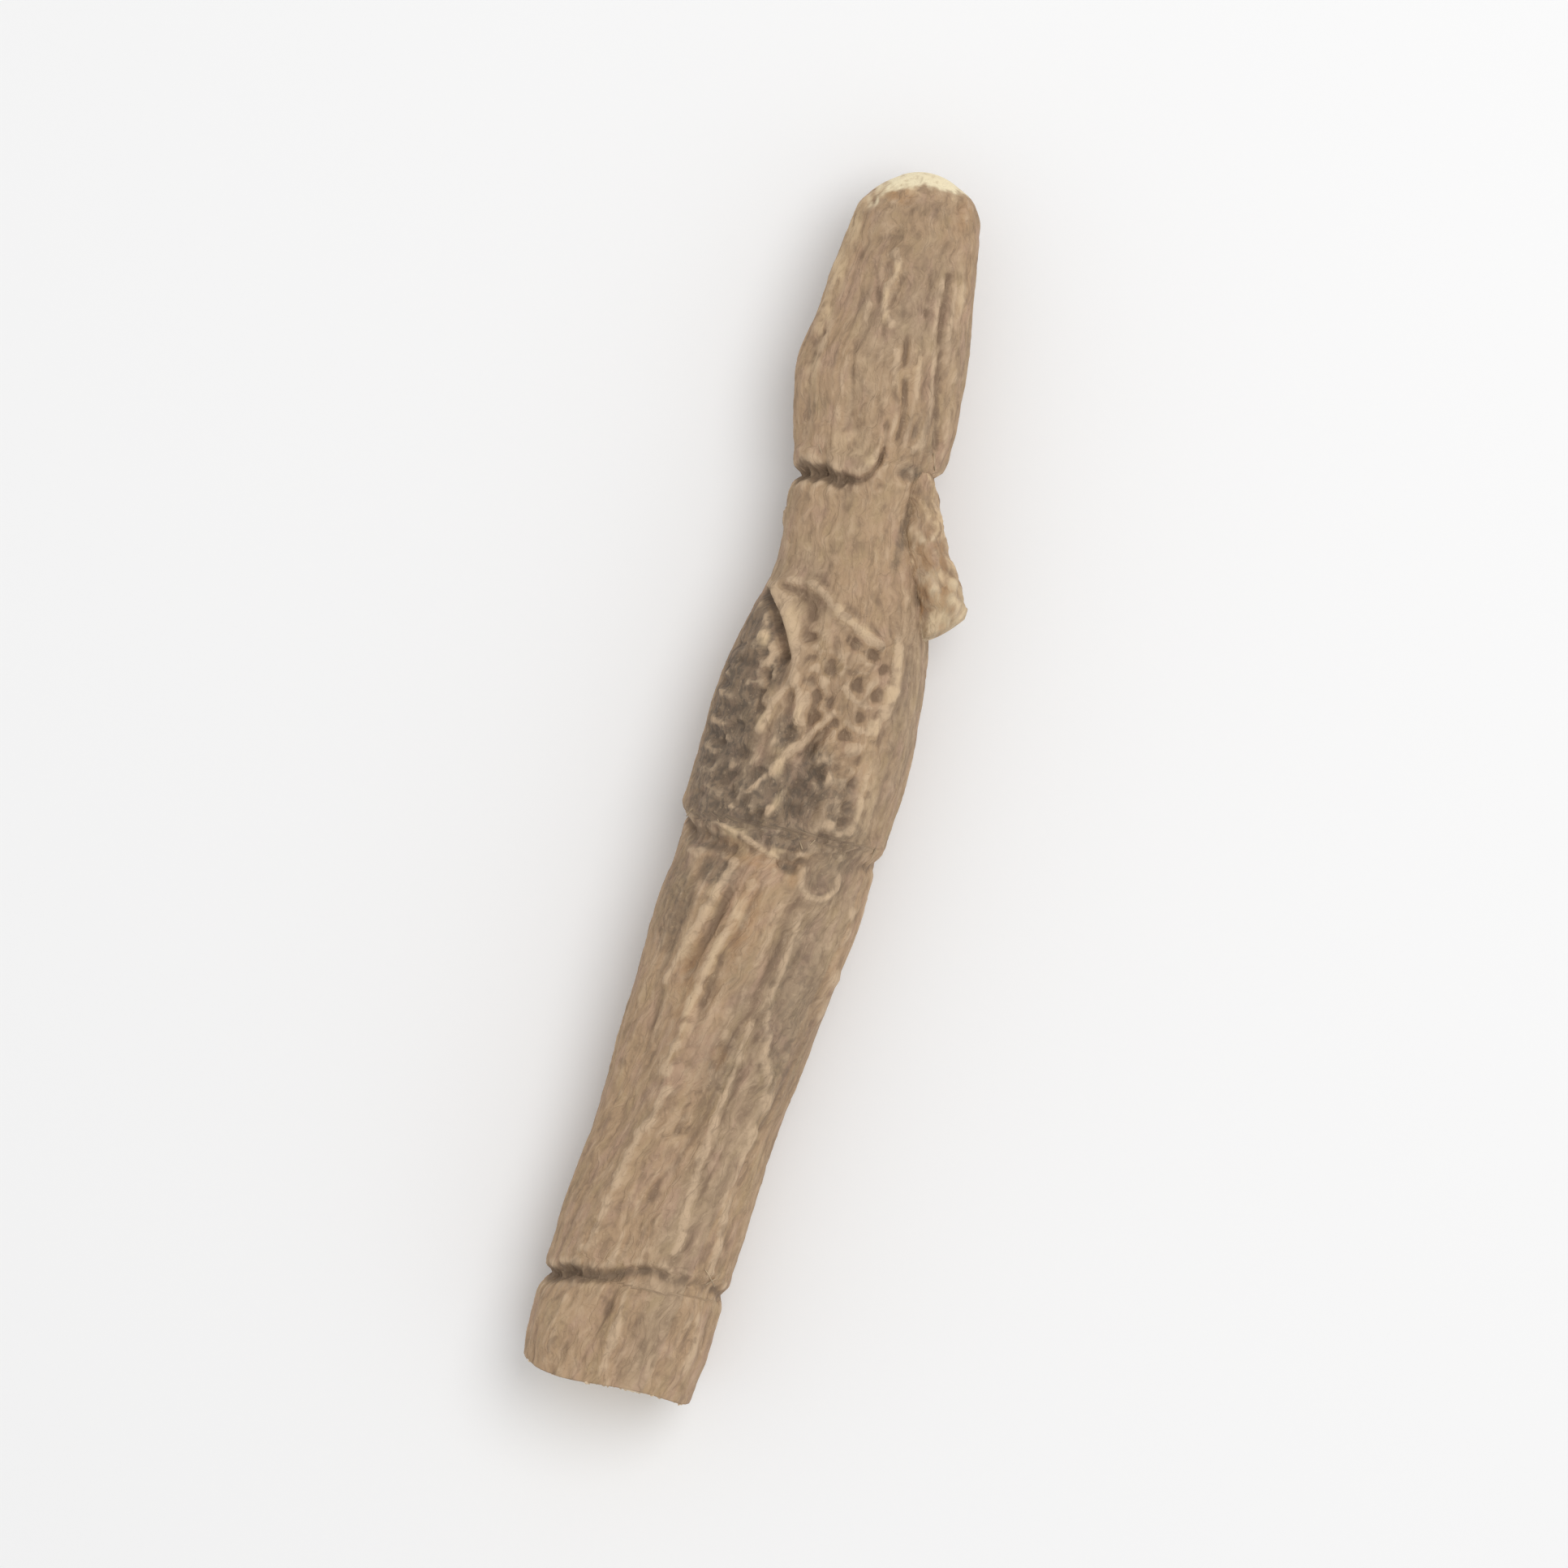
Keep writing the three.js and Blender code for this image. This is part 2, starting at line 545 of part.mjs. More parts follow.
function geometryOf(solid) {
  const mesh = solid.getMesh();
  const geometry = new THREE.BufferGeometry();
  geometry.setAttribute("position", new THREE.BufferAttribute(mesh.vertProperties, 3));
  geometry.setIndex(new THREE.BufferAttribute(mesh.triVerts, 1));
  geometry.computeVertexNormals();
  return geometry;
}

function rhizomeGeometry() {
  const block = new THREE.BoxGeometry(FLOOR.long, FLOOR.wide, FLOOR.deep);
  const belowFloor = block.translate(0, 0, -FLOOR.deep / 2);
  let solid = solidOf(stem()).add(solidOf(bud()));
  for (const scar of rootScars()) solid = solid.add(solidOf(scar));
  return geometryOf(solid.subtract(solidOf(belowFloor)));
}

const driedRoot = new THREE.MeshStandardMaterial({ color: ROOT_COLOUR, roughness: 0.85, metalness: 0 });
const rhizome = new THREE.Mesh(rhizomeGeometry(), driedRoot);
rhizome.name = "rhizome";

const sweetFlagRoot = new THREE.Group();
sweetFlagRoot.add(rhizome);

export default sweetFlagRoot;
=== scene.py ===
"""Dried sweet flag rhizome: its fine skin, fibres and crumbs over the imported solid, on a pale table."""

import math

import bpy
import numpy as np
from bpy.props import FloatProperty, FloatVectorProperty, IntProperty, PointerProperty
from mathutils import Matrix, Vector, kdtree


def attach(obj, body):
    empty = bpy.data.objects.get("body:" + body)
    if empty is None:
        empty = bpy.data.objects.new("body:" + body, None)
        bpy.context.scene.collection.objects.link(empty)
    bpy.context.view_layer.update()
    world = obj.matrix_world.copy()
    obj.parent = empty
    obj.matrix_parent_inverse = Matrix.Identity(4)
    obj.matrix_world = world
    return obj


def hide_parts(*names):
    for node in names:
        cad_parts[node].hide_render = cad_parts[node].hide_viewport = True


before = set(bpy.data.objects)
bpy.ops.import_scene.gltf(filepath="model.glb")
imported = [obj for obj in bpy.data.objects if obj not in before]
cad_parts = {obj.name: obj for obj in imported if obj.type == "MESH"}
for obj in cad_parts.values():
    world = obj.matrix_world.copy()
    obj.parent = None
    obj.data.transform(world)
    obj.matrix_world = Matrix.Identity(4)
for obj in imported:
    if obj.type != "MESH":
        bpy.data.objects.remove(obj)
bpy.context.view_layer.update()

bl_info = {
    "name": "Sweet Flag Root",
    "version": (1, 0, 0),
    "blender": (4, 5, 0),
    "location": "3D View > Sidebar > Sweet Flag",
    "description": "Builds a dried sweet flag rhizome with its skin, fibres and crumbs",
    "category": "Add Mesh",
}

NODE = "rhizome"
BODY = "root"
MM = 0.001

# A place on the root is given by "along", from the rounded top end at +X to the snapped end at -X,
# "across", towards -Y, and "turn", the angle round the stem: 0 at the -Y side, a quarter turn on top.
# The lengths in these tables are in millimetres, as in the solid that this skin covers.
MIDDLE_ALONG = 41.6
MIDDLE_ACROSS = -0.962
STEM_END = 82.87

# Sections from the top end down: how far along, centre across, width, thickness, centre height.
SECTIONS = np.array([
    (0.0, 0.6, 3.4, 2.8, 6.25),
    (0.8, 0.7, 5.9, 4.9, 6.3),
    (2.0, 0.5, 7.7, 6.6, 6.3),
    (2.9, 0.4, 8.3, 7.3, 6.3),
    (4.2, 0.4, 8.7, 7.8, 6.3),
    (6.7, 0.3, 9.5, 8.5, 6.25),
    (10.0, 0.2, 10.3, 9.1, 6.2),
    (13.4, -0.05, 11.2, 9.5, 6.1),
    (16.4, 0.15, 11.0, 9.4, 6.0),
    (18.3, 0.25, 10.4, 8.9, 5.95),
    (20.2, 0.3, 9.5, 8.3, 5.9),
    (23.3, 0.4, 9.6, 8.8, 5.8),
    (27.2, 0.8, 10.4, 9.6, 5.7),
    (31.0, 0.65, 12.3, 10.8, 5.65),
    (35.5, 0.25, 13.7, 11.7, 5.65),
    (40.0, 0.0, 14.0, 12.0, 5.7),
    (44.0, -0.4, 13.8, 11.8, 5.75),
    (46.2, -0.5, 13.0, 11.2, 5.85),
    (50.5, -1.05, 13.4, 11.5, 5.9),
    (57.1, -1.9, 12.7, 11.1, 5.8),
    (65.1, -2.9, 12.0, 10.6, 5.3),
    (72.0, -3.8, 12.4, 10.8, 5.1),
    (76.4, -4.2, 12.0, 10.5, 5.05),
    (80.0, -4.55, 12.3, 10.7, 5.05),
    (83.6, -4.8, 11.4, 10.0, 5.1),
])
ACROSS, WIDTH, THICK, HEIGHT = 1, 2, 3, 4  # columns of the sections

# Node rings: place along, lean from side to side, lean from belly to top, turn of their wave, rim
# height, crack depth.
RINGS = (
    (20.2, -0.5, 0.5, 4.4, 0.24, 0.85),
    (45.1, 0.1, 1.3, 1.1, 0.14, 0.6),
    (76.2, -0.5, -0.7, 0.8, 0.26, 0.6),
)
# Where a ring has healed over: along, across, half length, half width, strength.
HEALED = (
    (20.4, 2.9, 2.6, 2.3, 0.9),
    (46.8, -1.9, 2.0, 2.4, 0.85),
    (45.6, 3.4, 2.4, 2.4, 0.8),
    (20.8, 0.7, 2.4, 2.0, 0.75),
    (46.2, -5.0, 2.0, 2.6, 0.75),
)
RING_REACH = 6.5  # how far from a ring the rows of the skin lean with it
# Over what length a ring's torn lip rises and ends, how far before the ring it is highest, and the least
# half width of the crack.
LIP_RISE, LIP_END, LIP_BEFORE, CRACK_WIDTH = 1.1, 0.32, 0.45, 0.34
# The snapped end is slanted and wavy: how far, towards which turn, its wave, and over which stretch.
SNAP_SLANT, SNAP_TURN, SNAP_WAVE, SNAP_REACH = 0.6, 0.9, 0.25, 4.0
# From the middle ring on the columns of the skin turn with its wrinkles, in radians a millimetre.
TWIST_FROM, TWIST_RATE = 46.0, 0.02

# Internodes: from, to, number of furrows and ridges, their height and lean, number of fine ones.
INTERNODES = (
    (1.5, 19.4, 36, 0.26, 0.0, 170),
    (21.2, 44.0, 40, 0.28, 0.03, 200),
    (46.6, 75.4, 64, 0.24, -0.14, 300),
    (77.0, 83.4, 30, 0.32, -0.05, 80),
)
# How the furrows and ridges are drawn: those of the solid, and the fine ones that only the skin has.
# "number" is the column of INTERNODES that says how many. A pair is the least and the spread: place and
# length as shares of the internode, half width, and height as a share of the internode's height. Then
# come the share of them that are furrows, and the spread of their lean.
COARSE_LINES = {
    "seed": 4181,
    "number": 2,
    "place": (0.08, 0.84),
    "length": (0.2, 0.4),
    "width": (0.5, 0.55),
    "height": (0.45, 0.75),
    "furrows": 0.55,
    "lean": 0.08,
}
FINE_LINES = {
    "seed": 6765,
    "number": 5,
    "place": (0.0, 1.0),
    "length": (0.08, 0.28),
    "width": (0.16, 0.22),
    "height": (0.12, 0.28),
    "furrows": 0.6,
    "lean": 0.14,
}

# Raised (+) and sunk (-) lines on the upper side: height, half width, and points along, across.
TOP_LINES = (
    # the leaf scar: its left ridge with two legs, the crevice beside it, its upper and right ridges
    (0.34, 0.75, ((29.3, -3.5), (30.3, -2.8), (31.6, -2.1), (32.8, -1.8))),
    (0.3, 0.42, ((28.8, -4.2), (30.0, -3.3), (31.5, -2.4), (33.0, -1.95), (34.4, -1.7))),
    (0.42, 0.34, ((34.4, -1.7), (35.3, -2.1), (36.3, -2.7), (37.6, -3.1), (38.3, -3.4))),
    (0.36, 0.28, ((34.8, -1.5), (36.2, -1.0), (37.3, -0.9))),
    (-0.65, 0.42, ((29.4, -4.6), (30.3, -4.1), (31.3, -3.5), (32.4, -2.95), (33.2, -2.7))),
    (-0.3, 0.6, ((33.4, -2.7), (34.2, -2.9), (35.0, -3.2))),
    (0.2, 0.36, ((28.4, -3.8), (28.1, -2.6), (28.2, -1.6))),
    (0.48, 0.34, ((28.2, -1.6), (28.9, -0.6), (29.8, 0.7), (30.7, 2.2), (31.4, 3.5))),
    (-0.3, 0.3, ((28.6, -3.5), (28.8, -2.7), (29.2, -1.9))),
    (-0.14, 0.34, ((29.5, -1.6), (30.4, -1.15))),
    (0.3, 0.45, ((30.8, 4.5), (32.5, 4.7), (34.0, 4.85), (36.2, 4.3), (37.5, 3.5), (38.6, 3.0))),
    (0.14, 0.75, ((31.2, 4.6), (34.0, 4.85), (36.2, 4.3), (37.5, 3.5))),
    (-0.16, 0.4, ((31.2, 5.5), (33.5, 5.75), (36.0, 5.3), (37.8, 4.6))),
    (0.3, 0.26, ((34.5, 1.7), (35.3, 2.6), (35.55, 3.7))),
    # the slanting ridge across it and a shorter one
    (0.4, 0.3, ((36.4, 1.4), (37.5, 0.4), (38.5, -0.1), (39.3, -0.8), (40.8, -1.8))),
    (0.28, 0.22, ((41.4, -2.3), (42.2, -2.9), (43.8, -4.2))),
    (0.14, 0.34, ((39.4, -1.2), (41.2, -1.6))),
    (0.3, 0.24, ((42.2, -0.9), (43.0, -1.2), (43.6, -1.7))),
    (-0.2, 0.3, ((35.8, -1.6), (37.4, -1.7), (38.4, -1.2))),
    (-0.3, 0.3, ((36.9, 1.6), (37.9, 0.9), (38.9, 0.4))),
    # the middle ring: its thin lip, the dark fold under it and a second lip
    (0.34, 0.26, ((45.0, -4.8), (45.5, -3.0), (46.1, -1.7))),
    (0.42, 0.28, ((45.8, -2.3), (46.3, -1.2), (46.4, -0.3), (46.3, 0.3), (46.0, 1.0))),
    (-0.2, 0.34, ((45.9, -5.2), (46.2, -4.3), (46.4, -3.6))),
    (-0.3, 0.3, ((46.9, -0.2), (47.1, 0.8))),
    (0.2, 0.28, ((47.2, -6.0), (46.9, -4.8), (46.9, -4.0), (47.4, -3.0))),
    # the first internode: a looped strand with its hollow, grooves and ridges along it
    (0.34, 0.26, ((5.4, -0.5), (6.5, -0.15), (7.2, -0.4), (8.2, -0.75), (9.6, -0.5), (10.3, 0.0))),
    (0.17, 0.28, ((5.5, -0.8), (5.9, -1.4), (7.0, -1.6), (8.2, -1.6), (9.4, -1.8), (10.4, -1.5))),
    (0.12, 0.4, ((6.1, -0.8), (6.8, -1.0), (7.8, -1.2), (9.4, -1.25))),
    (-0.1, 0.26, ((8.0, -2.0), (9.3, -2.3))),
    (-0.16, 0.26, ((6.6, 0.5), (7.6, 0.1), (8.5, 0.05))),
    (-0.34, 0.28, ((6.3, 3.3), (8.0, 3.4), (9.5, 3.5), (11.5, 3.8), (13.5, 4.05), (17.5, 4.6))),
    (0.18, 0.34, ((6.8, 4.3), (8.4, 4.5), (10.5, 4.7), (13.0, 4.9))),
    (0.16, 0.3, ((7.0, 2.9), (9.5, 2.95), (12.0, 3.1))),
    (-0.28, 0.26, ((10.8, 1.3), (12.5, 1.5), (14.2, 1.8), (15.4, 2.1), (17.6, 2.0))),
    (0.18, 0.3, ((10.6, 2.2), (12.8, 2.4), (15.0, 2.9))),
    (0.15, 0.3, ((12.0, 0.8), (14.0, 1.0))),
    (-0.16, 0.26, ((4.3, -0.5), (4.6, -1.7), (5.2, -2.5), (6.3, -3.1))),
    (-0.22, 0.32, ((11.5, -4.4), (12.4, -5.0), (14.0, -5.0), (16.0, -4.7), (18.8, -4.3))),
    (0.18, 0.34, ((6.8, -4.1), (9.3, -4.4), (11.2, -4.9))),
    (-0.2, 0.24, ((13.8, 2.9), (15.6, 3.2), (17.4, 3.0))),
    # the hooked end of the crack, and its lip
    (-0.36, 0.18, ((20.8, -1.0), (20.8, 0.0), (20.2, 0.7), (19.4, 1.1), (18.4, 1.25), (16.7, 1.1))),
    (0.26, 0.28, ((19.9, 0.2), (19.4, 0.55), (18.8, 0.7))),
    # the third internode: ridges that slant across it, with furrows between them
    (0.32, 0.4, ((47.4, -3.0), (50.5, -4.3), (53.4, -5.3), (56.0, -6.2))),
    (0.42, 0.42, ((48.6, -1.8), (51.5, -2.6), (55.0, -3.6), (62.0, -4.8))),
    (-0.3, 0.4, ((49.5, -3.0), (52.6, -4.0), (55.4, -4.9))),
    (0.28, 0.42, ((50.0, 1.8), (53.5, 1.5), (56.5, 1.0), (60.0, 1.4), (63.0, 2.0))),
    (0.26, 0.38, ((49.0, 5.2), (52.5, 4.8), (56.5, 4.3))),
    (0.34, 0.42, ((58.0, 0.2), (63.0, -0.9), (68.5, -1.6), (73.5, -1.9))),
    (-0.32, 0.42, ((59.5, -1.6), (64.5, -3.0), (70.5, -4.4))),
    (0.36, 0.42, ((63.0, -4.6), (66.0, -5.5), (70.0, -6.6), (74.5, -7.6))),
    (0.3, 0.38, ((65.0, 1.6), (69.0, 0.9), (74.5, 0.6))),
    (0.26, 0.38, ((66.5, -3.4), (71.0, -4.9), (75.0, -5.9))),
)

# Pits on the upper side: along, across, radius, depth.
PITS = (
    (31.7, -1.3, 0.42, 0.3), (33.0, -0.7, 0.45, 0.3), (33.3, 0.6, 0.62, 0.42), (31.6, 1.8, 0.42, 0.28),
    (33.5, 1.9, 0.36, 0.26), (32.1, 3.1, 0.44, 0.32), (34.1, 2.7, 0.5, 0.36), (33.0, 4.0, 0.34, 0.26),
    (34.6, 4.2, 0.55, 0.34), (35.6, 0.1, 0.42, 0.32), (34.6, -0.6, 0.5, 0.28), (35.8, 0.9, 0.34, 0.26),
    (36.3, 3.1, 0.44, 0.3), (37.6, 2.3, 0.46, 0.34), (36.7, 0.1, 0.45, 0.3), (38.2, -1.1, 0.6, 0.35),
    (40.4, 1.1, 0.55, 0.42), (40.1, 2.3, 0.45, 0.34), (40.6, 3.6, 0.42, 0.26), (42.3, 3.6, 0.42, 0.26),
    (43.4, 3.3, 0.46, 0.26), (44.7, 2.4, 0.6, 0.34), (44.8, 3.8, 0.52, 0.3), (43.1, 0.3, 0.44, 0.3),
    (42.4, 1.3, 0.4, 0.28), (43.1, -3.4, 0.36, 0.34), (39.4, 0.3, 0.5, 0.26), (41.6, 0.2, 0.55, 0.28),
    (32.9, -6.0, 0.4, 0.3), (34.0, -4.9, 0.6, 0.36), (33.3, -4.1, 0.42, 0.26), (34.6, -3.8, 0.4, 0.28),
    (35.7, -6.3, 0.42, 0.3), (36.0, -4.2, 0.48, 0.34), (37.0, -3.7, 0.42, 0.3), (37.4, -5.8, 0.55, 0.36),
    (38.5, -5.2, 0.46, 0.3), (40.2, -4.3, 0.5, 0.34), (41.2, -3.0, 0.5, 0.3), (42.1, -5.1, 0.6, 0.34),
    (43.0, -4.4, 0.4, 0.26), (39.2, -6.4, 0.5, 0.3), (41.0, -6.3, 0.45, 0.28), (44.3, -2.5, 0.45, 0.24),
    (6.2, -0.8, 0.34, 0.05), (6.9, 2.3, 0.36, 0.12), (9.0, 2.5, 0.34, 0.12), (1.4, -1.3, 0.4, 0.2),
    (1.7, -0.4, 0.34, 0.18), (2.6, -1.5, 0.32, 0.15), (2.3, -2.6, 0.3, 0.15), (1.6, 3.2, 0.36, 0.15),
    (3.2, 3.1, 0.3, 0.12), (19.9, 2.8, 0.42, 0.28), (18.9, 3.4, 0.7, 0.16), (21.0, 1.4, 0.3, 0.14),
)
# Small raised flecks on the upper side: along, across, radius, height.
FLECKS = (
    (32.2, -4.25, 0.5, 0.34), (32.9, -3.7, 0.32, 0.24), (35.5, -4.7, 0.45, 0.28), (35.0, -6.2, 0.34, 0.12),
    (34.6, -3.2, 0.34, 0.2), (36.4, -6.4, 0.42, 0.07), (38.3, -6.0, 0.5, 0.07), (39.0, -2.2, 0.45, 0.24),
    (40.9, -4.9, 0.42, 0.14), (39.9, 0.85, 0.28, 0.2), (40.7, 1.75, 0.32, 0.22), (41.6, 2.2, 0.34, 0.22),
    (43.6, 2.6, 0.4, 0.24), (37.6, 1.7, 0.3, 0.2), (38.4, 3.0, 0.36, 0.18), (34.5, 0.2, 0.42, 0.24),
    (27.8, 4.8, 0.42, 0.12), (19.5, 0.5, 0.36, 0.16), (13.2, -1.5, 0.5, 0.1), (14.3, -1.0, 0.45, 0.1),
    (16.5, -0.8, 0.5, 0.1), (18.3, -1.3, 0.45, 0.12), (17.9, -3.1, 0.5, 0.1), (7.7, 4.3, 0.4, 0.1),
)
# Small pits spread over parts of the upper side: from and to along, from and to across, how many.
PIT_SPREAD = (
    (31.2, 38.0, -0.8, 4.2, 50),
    (32.0, 45.6, -6.8, -2.9, 140),
    (38.4, 46.0, -2.4, 4.4, 98),
)
PIT_SEED = 987
SMALL_PIT_RADIUS, SMALL_PIT_DEPTH = 0.34, 0.1  # of the largest of them
PIT_RIM = 0.18  # height of a pit's rim, as a share of its depth
# Where the leaf scar lies lower: along, across, half length, half width, depth.
SCAR_SINK = (
    (35.5, 1.4, 5.0, 3.2, 0.35),
    (38.5, -4.6, 6.5, 2.2, 0.6),
    (41.8, 0.4, 3.6, 2.4, 0.55),
)

# Where the skin has few wrinkles: along, across, half length, half width, strength.
SMOOTH = (
    (4.0, 0.5, 6.0, 7.0, 0.6),
    (25.0, 0.0, 5.5, 6.0, 0.85),
    (33.5, 1.5, 6.0, 4.2, 0.9),
    (38.5, -4.8, 8.5, 3.2, 0.85),
    (41.5, 0.5, 4.6, 3.4, 0.85),
    (54.0, -1.2, 6.0, 4.5, 0.5),
)
# Shrunken hollows: along, turn, half length, half width, depth.
DENTS = (
    (9.0, 1.35, 4.5, 2.0, 0.16),
    (25.5, 1.2, 4.0, 3.0, 0.2),
    (55.0, 1.15, 10.0, 2.4, 0.3),
    (66.5, 2.25, 9.0, 2.4, 0.3),
    (69.5, 0.75, 6.5, 2.0, 0.3),
    (60.0, 5.5, 9.0, 2.2, 0.6),
    (33.0, 5.6, 8.0, 2.4, 0.5),
    (14.0, 4.1, 6.5, 1.8, 0.4),
    (80.5, 1.5, 3.5, 2.2, 0.4),
)

# Root scars: the one on top as along, turn, radius, then the rows of the underside.
TOP_SCAR = (47.35, 1.03, 1.55)
SCAR_RADIUS = 0.9
SCAR_WANDER = 0.18  # how far they stray from their row, as a turn
SCAR_RIM, SCAR_HOLLOW = 0.4, 0.25
SCAR_ROWS = ((6.0, 17.0, 5.2), (24.0, 42.0, 4.7), (50.0, 73.5, 5.3))
# Where the rim of the scar on top begins to wear away, and where little of it is left, along.
SCAR_WEAR = (47.4, 46.3)
UNDERSIDE = 1.5 * math.pi
SCAR_TURNS = (UNDERSIDE - 0.95, UNDERSIDE + 0.85)

# Side bud: along, across, height above the stem's centre, radius.
BUD = np.array([
    (19.4, 3.9, 1.9, 0.8),
    (20.6, 4.1, 2.05, 1.1),
    (22.4, 4.5, 2.0, 1.3),
    (24.9, 5.3, 1.8, 1.42),
    (27.3, 6.6, 1.4, 1.55),
    (28.8, 7.14, 1.1, 1.45),
    (29.55, 7.24, 0.95, 1.4),
])
BUD_ACROSS, BUD_HEIGHT, BUD_RADIUS = 1, 2, 3  # columns of the bud
BUD_LUMP = 0.07
BUD_SLANT = 0.75  # how far its tip slants back towards the right, as a share of its radius
BUD_DEPTH = 1.15  # its height as a share of its width
BUD_DOME = 0.35  # how far the middle of its tip stands out
BUD_GRAIN = 40  # moves its patterns along, so that they aren't the stem's beside it

TOP_END_DOME, SNAPPED_END_HOLLOW = 0.4, 0.32
BROKEN_HEIGHT = 0.28  # how uneven the snapped face is
GRAIN_HEIGHT = 0.04  # how uneven the skin is between its wrinkles
PALE_RIM_WIDTH = 0.62  # how wide the pale rim of the top end is at its narrowest
# Below the middle ring the skin is grey on the right and warm on the left: where along this begins and is
# full, and from which turn to which it changes.
GREY_FROM, GREY_FULL = 46, 48
GREY_TURN, WARM_TURN = 1.1, 1.8
CORE = 0.62  # where the ring round the core shows on the snapped face, as a share of its radius

# Darker stretches of the upper side, partly stains and dirt of the scars and partly painted shade: the
# shade of neighbouring roots on the left flank of the leaf scar, the shaded side of the bud, and the
# creases beside the bud and under the ring lips. Along, across, half length, half width, strength.
STAINS_AND_SHADE = (
    (37.6, -6.0, 9.3, 3.3, 1.0),
    (42.6, -1.6, 3.3, 5.0, 0.9),
    (41.0, 0.9, 3.4, 2.0, 0.85),
    (38.2, -1.5, 1.8, 1.2, 0.75),
    (34.5, 1.6, 3.8, 3.0, 0.16),
    (44.6, -2.0, 1.6, 5.5, 0.85),
    (44.8, 2.6, 1.4, 2.4, 0.5),
    (46.2, -5.2, 1.2, 2.4, 0.7),
    (47.1, 0.5, 0.5, 0.9, 0.8),
    (27.0, 5.6, 1.6, 0.8, 0.55),
    (19.6, 3.3, 0.8, 1.3, 0.75),
    (50.5, -6.6, 5.0, 1.6, 0.5),
    (6.5, 0.6, 5.5, 3.6, 0.14),
    (57.0, 2.4, 9.0, 2.6, 0.4),
    (30.8, -5.3, 3.2, 1.5, 0.95),
    (32.2, -4.5, 2.8, 1.4, 0.9),
    (43.8, -5.0, 2.2, 3.2, 0.9),
    (45.8, 3.6, 1.6, 2.4, 0.5),
    (17.0, 3.4, 3.4, 1.6, 0.2),
    (34.4, -3.1, 1.7, 0.9, 0.8),
    (42.2, 2.9, 3.0, 1.7, 0.6),
    (45.3, -0.6, 1.1, 3.4, 0.85),
    (47.3, 2.8, 2.4, 2.2, 0.35),
    (48.2, -4.2, 1.4, 1.8, 0.75),
    (23.6, 3.6, 3.6, 0.45, 0.6),
    (2.2, 1.2, 1.0, 2.4, 0.2),
    (44.4, 4.5, 2.0, 1.6, 0.4),
    (39.5, 5.4, 6.0, 1.2, 0.2),
    (34.5, 5.7, 3.6, 0.6, 0.3),
    (55.0, -1.2, 3.5, 1.2, 0.2),
    (61.0, -1.4, 3.5, 2.2, 0.28),
    (52.5, 2.9, 4.0, 1.5, 0.25),
)
# Orange-brown places on it, in the same way.
RUSTS = (
    (1.5, -1.1, 1.0, 1.5, 0.6),
    (2.0, 3.4, 1.6, 0.9, 0.3),
    (46.0, -5.0, 0.7, 2.4, 0.5),
    (46.9, -1.6, 0.7, 1.6, 0.5),
    (47.6, 0.9, 1.0, 0.6, 0.4),
    (51.0, -1.8, 4.0, 1.4, 0.35),
    (56.0, -4.6, 4.5, 1.2, 0.35),
    (60.5, -1.6, 1.6, 0.9, 0.35),
)
# Paler places, in the same way: partly worn pale skin, and partly painted highlight on the left edge
# of the first internode, on the ring lips and on ridges of the leaf scar.
PALES_AND_HIGHLIGHTS = (
    (4.2, -3.7, 2.0, 0.7, 0.75),
    (7.2, -4.1, 2.2, 0.7, 0.75),
    (10.3, -4.45, 2.2, 0.7, 0.65),
    (14.2, -4.7, 2.4, 0.7, 0.4),
    (1.1, -0.2, 0.6, 0.7, 0.8),
    (1.4, -2.3, 0.8, 0.9, 0.65),
    (2.3, -3.2, 0.9, 0.6, 0.65),
    (1.1, 2.8, 0.6, 0.6, 0.5),
    (7.7, 4.3, 1.3, 0.5, 0.4),
    (6.6, -0.25, 1.2, 0.35, 0.6),
    (8.2, -0.7, 0.9, 0.32, 0.65),
    (9.6, -0.45, 0.9, 0.35, 0.5),
    (12.0, 2.3, 2.0, 0.45, 0.3),
    (14.0, -1.3, 1.6, 1.4, 0.25),
    (18.6, -1.2, 1.2, 2.4, 0.25),
    (19.3, 0.4, 0.7, 0.45, 0.6),
    (30.1, 1.2, 0.4, 1.0, 0.35),
    (32.3, -4.2, 0.8, 0.5, 0.85),
    (37.6, -3.2, 1.0, 0.4, 0.6),
    (36.9, -0.95, 0.8, 0.35, 0.75),
    (40.2, -1.5, 1.5, 0.5, 0.6),
    (43.0, -1.2, 0.9, 0.4, 0.5),
    (41.8, 4.6, 3.5, 1.0, 0.3),
    (45.4, -3.4, 0.5, 1.5, 0.55),
    (46.2, -0.4, 0.45, 1.6, 0.6),
    (31.0, -2.5, 2.2, 0.7, 0.5),
    (29.6, 0.4, 0.6, 0.6, 0.5),
    (30.6, 2.2, 0.6, 0.7, 0.5),
    (33.4, 4.8, 2.8, 0.6, 0.55),
    (36.8, 4.1, 1.8, 0.6, 0.5),
    (48.4, 3.2, 0.6, 1.2, 0.35),
    (50.2, -2.2, 1.9, 0.6, 0.4),
    (53.6, -3.2, 2.2, 0.6, 0.45),
    (57.6, -4.05, 2.6, 0.6, 0.45),
    (50.0, -4.1, 1.8, 0.7, 0.35),
    (53.2, -5.3, 2.0, 0.7, 0.35),
    (27.6, 7.3, 0.8, 0.6, 0.6),
)

TOP_CROWDING = 0.4  # how much closer the columns of points stand on top
TOP_FACE_ROWS, SNAPPED_FACE_ROWS = 10, 20
